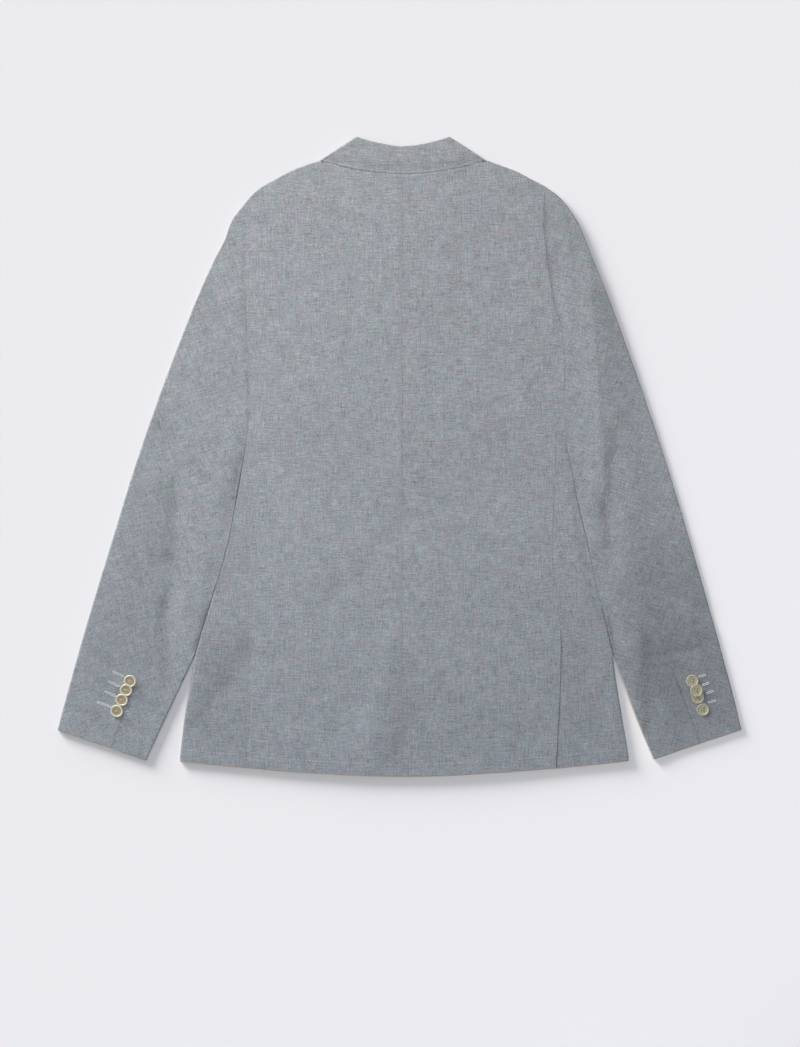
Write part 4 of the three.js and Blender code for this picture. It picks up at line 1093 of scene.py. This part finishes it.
def upper_painted_shade_and_light(grid, outward):
    """Painted shade on the upper side: in the creases and in the wider patches, with painted light where
    their depth is negative, and a little towards the hem. The steep outside of a pressed edge gets painted
    shade where it faces the lamp and painted light where it faces away, which evens out how the lamp lights
    it."""
    x, y, z = grid[..., 0], grid[..., 1], grid[..., 2]
    painted_shade_and_light = -folds(x, y, CREASES_WITH_PAINTED_SHADE) - folds(x, y, PAINTED_SHADE_AND_LIGHT_PATCHES)
    painted_shade_and_light = painted_shade_and_light + LOWER_PAINTED_SHADE * (1 - smoothstep(y, -330, -60))
    steep = smoothstep(1 - np.abs(outward[..., 2]), 0.10, 0.7)
    steep = steep * smoothstep(z, 0.5, 1.5) * (np.abs(z - plain_height(x, y)) > 0.35)
    across, along = np.array(KEY_PLACE[:2]) / math.hypot(*KEY_PLACE[:2])
    lit = outward[..., 0] * across + outward[..., 1] * along
    # painted shade where the steep edge faces the lamp, painted light where it faces away
    edge_painted_shade_and_light = LIT_EDGE_PAINTED_SHADE * np.maximum(lit, 0) + SHADED_EDGE_PAINTED_LIGHT * np.maximum(-lit, 0)
    return painted_shade_and_light * smoothstep(z, 1.5, 4) + edge_painted_shade_and_light * steep


def plain_values(grid):
    zero = np.zeros(grid.shape[:2])
    return dict(shade=zero, seam=zero, tan_edge=zero)


def sleeve_values(grid, side, part):
    """Painted shade beside the armhole and hind seam, deeper where the cuff's vent lies and towards the
    right top sleeve's outer edge, and the tan line along the cuff's edge and along part of the right
    sleeve's inner edge."""
    rows = grid.shape[0]
    along = distance_along(grid[:, 4])[:, None]
    to_cuff = along[-1:] - along
    column = np.linalg.norm(np.diff(grid, axis=1), axis=-1)
    aside = np.hstack([np.zeros((rows, 1)), np.cumsum(column, axis=1)])
    vent = 1 - smoothstep(to_cuff, *CUFF_VENT)
    shade = 0.05 * near(along, 2.0) + 0.18 * vent * near(aside, 1.2)
    shade = shade + 0.04 * near(to_cuff - CUFF_TURN_IN, 2.0)
    tan_edge = 0.9 * near(to_cuff, 1.3)
    if side == "right" and part == "under":
        column = np.arange(grid.shape[1])[None]
        on_edge = (column >= SLEEVE_TOP_COLUMNS + 2) & (column < SLEEVE_TOP_COLUMNS + 8)
        tan_edge = tan_edge + 0.8 * on_edge * smoothstep(along, 400, 430)
    # painted shade on the right top sleeve towards its outer edge, where it falls away from the lamp
    if side == "right":
        shade = shade + 0.05 * smoothstep(aside, 30, 100) * (part == "top")
    return dict(shade=shade + 0 * aside, seam=0 * aside, tan_edge=tan_edge + 0 * aside)


def make_cloth():
    """The 14 walls of cloth. Each is cut from its own part of the cloth, so its UV has an offset in
    millimetres and its weave is its own."""
    finish = chambray()

    def wall(node, grid, facing, uv, values, thickness=CLOTH, probe=0.12):
        values["shade"] = values["shade"] + upper_painted_shade_and_light(grid, outward_normals(grid, facing, probe)[0])
        obj = cloth_wall(node + "_cloth", grid, facing, thickness, uv, values, probe)
        obj.data.materials.append(finish)
        declare_cloth(obj, grid, node)

    for number, side in enumerate(SIDES):
        lay = LAYOUT[side]
        back = back_panel(side)
        wall(f"back_{side}", back, 1, turned_uv(back, 0, (0, 0)), body_values(back, side, "back"))
        panel = side_panel(side)
        uv = turned_uv(panel, math.radians(2) * lay.sign, (900 + 300 * number, 40))
        wall(f"side_{side}", panel, 1, uv, body_values(panel, side, "side"))
        front = front_panel(side)
        wall(f"front_{side}", front, -1, turned_uv(front, 0, (2000 + 500 * number, 90)),
             body_values(front, side, "front"))
        for part, sleeve in zip(("top", "under"), sleeve_panels(side)):
            offset = (-900 - 400 * number - (200 if part == "top" else 0), 70)
            wall(f"{part}_sleeve_{side}", sleeve, 1, turned_uv(sleeve, -lay.grain, offset),
                 sleeve_values(sleeve, side, part))
        cloth = lapel(side)
        wall(f"lapel_{side}", cloth, -1, turned_uv(cloth, 0, (3000 + 300 * number, 10)),
             plain_values(cloth), LAPEL_CLOTH)
    leaf, thickness = collar_leaf()
    values = plain_values(leaf)
    # painted light along the collar's fall edge, which pales its shaded rim
    values["shade"] = -0.35 * near(np.linalg.norm(leaf - leaf[:, -1:], axis=-1), 1.0)
    wall("collar", leaf, 1, turned_uv(leaf, 0, (40, 700)), values, thickness, 0.8)
    stand = collar_stand()
    wall("collar_stand", stand, 1, turned_uv(stand, 0, (40, 900)), plain_values(stand),
         probe=0.5)


# Buttons and sewing

CUFF_BUTTON = dict(radius=7.5, thickness=2.1, hole=0.75, spacing=1.5)
FRONT_BUTTON = dict(radius=10.0, thickness=2.2, hole=0.9, spacing=1.9)
BUTTON_LEAN = math.radians(13)
BUTTON_TURNS = 64
# shares of the radius and the thickness
DISH_SHARE = 0.7
RIM_RISE_SHARE = 0.09
DISH_DEPTH_SHARE = 0.33
BUTTON_EDGE = 0.75
# the thread that holds a button: its radius, and how far its two strands lie from each hole's line
THREAD_RADIUS = 0.24
STRAND_OFFSET = 0.26
STITCH_LIFT = 0.12
# a worked buttonhole: half its width, its cord's radius, the purls' relief and their number in a mm
BUTTONHOLE_HALF_WIDTH = 0.95
PURL_RADIUS = 0.42
PURL_RELIEF = 0.18
PURLS_PER_MM = 2.4
FRONT_BUTTON_Y = (36.0, -68.0)
# place, and how many buttons the button lies on
CUFF_PLACES = {
    "left": [(321.8, -264.8, 0), (326.4, -275.5, 0), (331.6, -287.1, 0), (337.5, -300.1, 0)],
    "right": [(341.6, -264.8, 0), (346.2, -276.0, 1), (348.2, -284.4, 0), (354.1, -298.7, 0)],
}
# ends of each buttonhole, outer end first
CUFF_HOLES = {
    "left": [(-329.5, -259.7, -342.2, -254.0), (-334.7, -271.3, -347.3, -265.5),
             (-339.0, -283.0, -351.6, -277.1), (-344.3, -295.6, -361.0, -289.7)],
    "right": [(349.6, -259.7, 357.5, -258.2), (353.8, -270.2, 361.2, -267.2),
              (358.0, -279.8, 366.5, -276.6), (360.7, -290.3, 369.1, -288.2)],
}
# ends of each hand tack, at the vent's top and beside the hem
TACKS = [(184, -203, 190, -198), (153, -212.8, 156, -211.2), (203, -211, 209, -211),
         (-174.5, -364.6, -162.5, -364.6)]


def dish_height(thickness):
    """Height of the button's dish above the middle of its thickness."""
    return thickness / 2 - DISH_DEPTH_SHARE * thickness


def button_grid(radius, thickness, hole, spacing):
    """A turned button as rings of points: the ring's radius and height follow its profile, from the
    middle of the face over the raised round rim to the middle of the back. Four pits sink the face where
    the thread's holes are, each as deep as half the button."""
    half = thickness / 2
    dish = dish_height(thickness)
    face = np.linspace(0.02, 1, 20) * (radius * DISH_SHARE)
    rise = np.linspace(0, 1, 8)[1:]
    risen = mix(dish, half - 0.12, smoothstep(rise, 0, 1))
    angle = np.linspace(math.pi / 2, -math.pi / 2, 11)
    back = np.linspace(0.85, 0.02, 7) * radius
    profile = np.concatenate([
        np.column_stack([face, np.full(20, dish)]),
        np.column_stack([radius * (DISH_SHARE + RIM_RISE_SHARE * rise), risen]),
        np.column_stack([radius - BUTTON_EDGE + BUTTON_EDGE * np.cos(angle), (half - 0.1) * np.sin(angle)]),
        np.column_stack([back, np.full(7, -half)]),
    ])
    turn = np.linspace(0, 2 * math.pi, BUTTON_TURNS, endpoint=False)
    x = profile[:, :1] * np.cos(turn)
    y = profile[:, :1] * np.sin(turn)
    z = np.repeat(profile[:, 1:], BUTTON_TURNS, axis=1)
    is_face = (np.arange(len(profile)) < len(face))[:, None]
    places = [(a, b) for a in (-spacing, spacing) for b in (-spacing, spacing)]
    away = np.min([np.hypot(x - a, y - b) for a, b in places], axis=0)
    z = np.where(is_face, z - half * (1 - smoothstep(away, hole * 0.7, hole * 1.15)), z)
    rim = smoothstep(profile[:, :1] / radius, 0.68, 0.76) + 0 * x
    return np.stack([x, y, z], axis=-1), rim


def tube(path, radius, sides=8):
    """A round tube along a path: rings of points at the given radius, square to the path's direction."""
    path = np.asarray(path, float)
    ahead = np.gradient(path, axis=0)
    ahead /= np.linalg.norm(ahead, axis=1, keepdims=True)
    across = np.cross(ahead, [0, 0, 1.0])
    across /= np.maximum(np.linalg.norm(across, axis=1, keepdims=True), 1e-9)
    up = np.cross(across, ahead)
    turn = np.linspace(0, 2 * math.pi, sides, endpoint=False)
    ring = np.cos(turn)[None, :, None] * across[:, None] + np.sin(turn)[None, :, None] * up[:, None]
    return path[:, None] + ring * np.broadcast_to(np.asarray(radius), len(path))[:, None, None]


def rings_mesh(name, bands, values=None):
    """Several closed bands of rings as one mesh, each with a cap at both ends."""
    points, faces, first = [], [], 0
    for rings in bands:
        rows, columns = rings.shape[:2]
        faces.append(grid_faces(rows, columns, first, wrap=True))
        middles = np.stack([rings[0].mean(axis=0), rings[-1].mean(axis=0)])
        points += [rings.reshape(-1, 3), middles]
        ring = np.arange(columns)
        following = np.roll(ring, -1)
        cap = first + rows * columns
        last = first + (rows - 1) * columns
        faces.append(np.column_stack([first + following, first + ring, np.full(columns, cap)]))
        faces.append(np.column_stack([last + ring, last + following, np.full(columns, cap + 1)]))
        first = cap + 2
    polygons = [face for part in faces for face in part.tolist()]
    mesh = smooth_mesh(name, np.concatenate(points), polygons, values or {})
    outwards(mesh)
    return placed(name, mesh)


def outwards(mesh):
    """Turns a closed mesh's faces round where its volume comes out negative."""
    mesh.calc_loop_triangles()
    corner = np.empty(len(mesh.loop_triangles) * 3, int)
    mesh.loop_triangles.foreach_get("vertices", corner)
    place = np.empty(len(mesh.vertices) * 3)
    mesh.vertices.foreach_get("co", place)
    a, b, c = np.moveaxis(place.reshape(-1, 3)[corner.reshape(-1, 3)], 1, 0)
    if np.einsum("ij,ij->", a, np.cross(b, c)) < 0:
        mesh.flip_normals()


def turned(points, axis, angle):
    """Points turned about an axis through the origin (Rodrigues' formula)."""
    axis = np.asarray(axis, float) / np.linalg.norm(axis)
    along = (points @ axis)[..., None] * axis
    return (points * math.cos(angle) + np.cross(axis, points) * math.sin(angle)
            + along * (1 - math.cos(angle)))


def sewn_button(node, size, place, axis, angle, horn_finish, thread_finish, painted_light_and_shade=1.0):
    """A button and its thread: two bars cross the dish from hole to hole, then sink into the holes."""
    grid, rim = button_grid(**size)
    grid = turned(grid, axis, angle) + place
    values = dict(rim=np.concatenate([rim.ravel(), [0.0, 0.0]]), painted_light_and_shade=np.full(rim.size + 2, painted_light_and_shade))
    button = rings_mesh(node + "_horn", [grid], values)
    button.data.materials.append(horn_finish)
    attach(button, "root")
    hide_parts(node)
    reach = size["spacing"]
    dish = dish_height(size["thickness"])
    run = np.linspace(-1, 1, 15)
    bands = []
    for first, second in (((-1, -1), (1, 1)), ((-1, 1), (1, -1))):
        for shift in (-STRAND_OFFSET, STRAND_OFFSET):
            x = mix(first[0], second[0], (run + 1) / 2) * reach - shift * first[1] * 0.7
            y = mix(first[1], second[1], (run + 1) / 2) * reach + shift * first[0] * 0.7
            lift = 0.75 if first[1] > 0 else 0.4
            z = dish + lift * (1 - np.abs(run) ** 4) - 0.35
            bands.append(tube(np.stack([x, y, z], axis=-1), THREAD_RADIUS, 7))
    bands = [turned(band, axis, angle) + place for band in bands]
    sewing = rings_mesh(node + "_thread", bands)
    sewing.data.materials.append(thread_finish)
    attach(sewing, "root")


def stitches(name, lines, finish, length=2.4, pitch=4.2, radius=0.32):
    """Hand stitches along lines on the cloth: each is a short spindle that rises from the cloth and sinks
    back, half an ellipse of height along its length."""
    bands = []
    run = np.linspace(0, 1, 7)
    girth = radius * np.sqrt(np.maximum(1 - (2 * run - 1) ** 2, 0.05))
    for line in lines:
        line = np.asarray(line, float)
        along = distance_along(line)
        for start in np.arange(pitch * 0.4, along[-1] - length, pitch):
            at = start + run * length
            path = np.stack([np.interp(at, along, line[:, k]) for k in range(3)], axis=-1)
            path[:, 2] += STITCH_LIFT
            bands.append(tube(path, girth, 5))
    obj = rings_mesh(name, bands)
    obj.data.materials.append(finish)
    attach(obj, "root")
    return obj


def buttonhole(x1, y1, x2, y2, height_at):
    """A worked buttonhole: one cord of purled thread round a long loop, its girth rippled by the stitches."""
    start, end = np.array([x1, y1]), np.array([x2, y2])
    ahead = (end - start) / np.linalg.norm(end - start)
    aside = np.array([-ahead[1], ahead[0]])
    length = np.linalg.norm(end - start)
    turn = np.linspace(0, 1, 180)
    loop = 2 * math.pi * turn
    across = BUTTONHOLE_HALF_WIDTH * np.sin(loop) / np.maximum(np.abs(np.sin(loop)), 0.35) ** 0.8
    forward = length / 2 * (1 - np.cos(loop))
    place = start + forward[:, None] * ahead + across[:, None] * aside
    z = height_at(place[:, 0], place[:, 1]) + 0.28
    girth = PURL_RADIUS * (1 + PURL_RELIEF * np.sin(2 * math.pi * turn * length * PURLS_PER_MM))
    return tube(np.column_stack([place, z]), girth, 7)


def hem_line(x1, x2):
    x = np.linspace(x1, x2, 200)
    y = hem_y(x) + HEM_TURN_UP
    return np.column_stack([x, y, top_height(x, y) + HEM_TURN_UP_RISE * 0.2])


def make_sewing():
    pale = thread("pale_thread", linear(205, 210, 214))
    faint = thread("faint_thread", linear(172, 176, 182))
    olive = thread("olive_thread", linear(158, 154, 138))
    bone = thread("bone_thread", linear(190, 180, 154))
    finish = horn()
    for side in SIDES:
        sign = SIGN[side]
        places = CUFF_PLACES[side]
        (x1, y1, _), (x4, y4, _) = places[0], places[-1]
        down = np.array([sign * (x4 - x1), y4 - y1])
        axis = np.array([-down[1], down[0], 0]) / np.linalg.norm(down)
        lean = BUTTON_LEAN if side == "left" else 0.0
        lift = CUFF_BUTTON["radius"] * math.sin(lean) + CUFF_BUTTON["thickness"] / 2 * math.cos(lean)
        for k, (x, y, on) in enumerate(places):
            z = float(plain_height(np.array(sign * x), np.array(y))) + 0.2 + lift
            z += on * (CUFF_BUTTON["thickness"] + 0.3)
            sewn_button(f"cuff_button_{side}_{k + 1}", CUFF_BUTTON, np.array([sign * x, y, z]), axis, lean,
                        finish, bone if side == "left" else olive, HORN_PAINTED_LIGHT_AND_SHADE[side])
        holes = [buttonhole(*ends, top_height) for ends in CUFF_HOLES[side]]
        obj = rings_mesh(f"cuff_buttonholes_{side}", holes)
        obj.data.materials.append(pale)
        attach(obj, "root")
    for k, y in enumerate(FRONT_BUTTON_Y):
        place = np.array([0, y, FRONT_BUTTON["thickness"] / 2])
        sewn_button(f"front_button_{k + 1}", FRONT_BUTTON, place, (1, 0, 0), math.pi, finish, olive)
    stitches("hem_stitches", [hem_line(-176, 176), hem_line(190, 258), hem_line(-256, -186)], faint)
    lines = []
    for x1, y1, x2, y2 in TACKS:
        line = np.linspace((x1, y1, 0), (x2, y2, 0), 5)
        line[:, 2] = top_height(line[:, 0], line[:, 1])
        lines.append(line)
    stitches("tacks", lines, pale, length=2.6, pitch=2.9, radius=0.36)


# Floor, light and camera

FLOOR_HALF = 18.0
# Light of the sky's parts, and where they begin and end, as the height of the direction from 0 to 1
PANEL_EDGE = (0.93, 0.99)
PANEL_LIGHT = 4.7
WALL_LIGHT = 0.2
HORIZON_TOP = 0.25
HORIZON_LIGHT = 0.6
VIEW_WIDTH = 0.944
VIEW_CENTRE = (-0.0035, -0.079)
LENS = 120.0
SENSOR = 36.0
CLOTH_LEVEL = 0.007


def make_floor():
    half = FLOOR_HALF
    level = -0.0002
    corners = [(-half, -half, level), (half, -half, level), (half, half, level), (-half, half, level)]
    mesh = bpy.data.meshes.new("floor")
    mesh.from_pydata(corners, [], [(0, 1, 2, 3)])
    floor = placed("floor", mesh)
    floor.data.materials.append(floor_finish())


def make_key():
    """A large soft lamp, low above the floor at the upper left."""
    data = bpy.data.lights.new("key", "POINT")
    data.shadow_soft_size, data.energy, data.color = KEY_RADIUS, KEY_WATTS, KEY_COLOUR
    placed("key", data).location = KEY_PLACE


def make_sky():
    """The studio's even light: a bright round panel straight above, dim walls and a pale horizon."""
    world = bpy.data.worlds.new("studio")
    world.use_nodes = True
    sky = Nodes(world.node_tree)
    direction = sky.node("ShaderNodeTexCoord", {}, {}, "Generated")
    up = sky.node("ShaderNodeSeparateXYZ", {}, {"Vector": direction}, "Z")
    horizon = 1.0 - up.above(0.0, HORIZON_TOP)
    strength = up.above(*PANEL_EDGE) * PANEL_LIGHT + horizon * HORIZON_LIGHT + WALL_LIGHT
    background = sky.nodes["Background"]
    background.inputs["Color"].default_value = (0.96, 0.98, 1.0, 1.0)
    sky.put(background.inputs["Strength"], strength)
    bpy.context.scene.world = world


def make_view():
    camera = bpy.data.cameras.new("camera")
    camera.sensor_fit, camera.sensor_width, camera.lens = "HORIZONTAL", SENSOR, LENS
    eye = placed("camera", camera)
    eye.location = (*VIEW_CENTRE, CLOTH_LEVEL + VIEW_WIDTH * LENS / SENSOR)
    scene = bpy.context.scene
    scene.camera = eye
    scene.view_settings.view_transform = "Standard"
    scene.view_settings.look = "None"


make_cloth()
make_sewing()
make_floor()
make_sky()
make_key()
make_view()
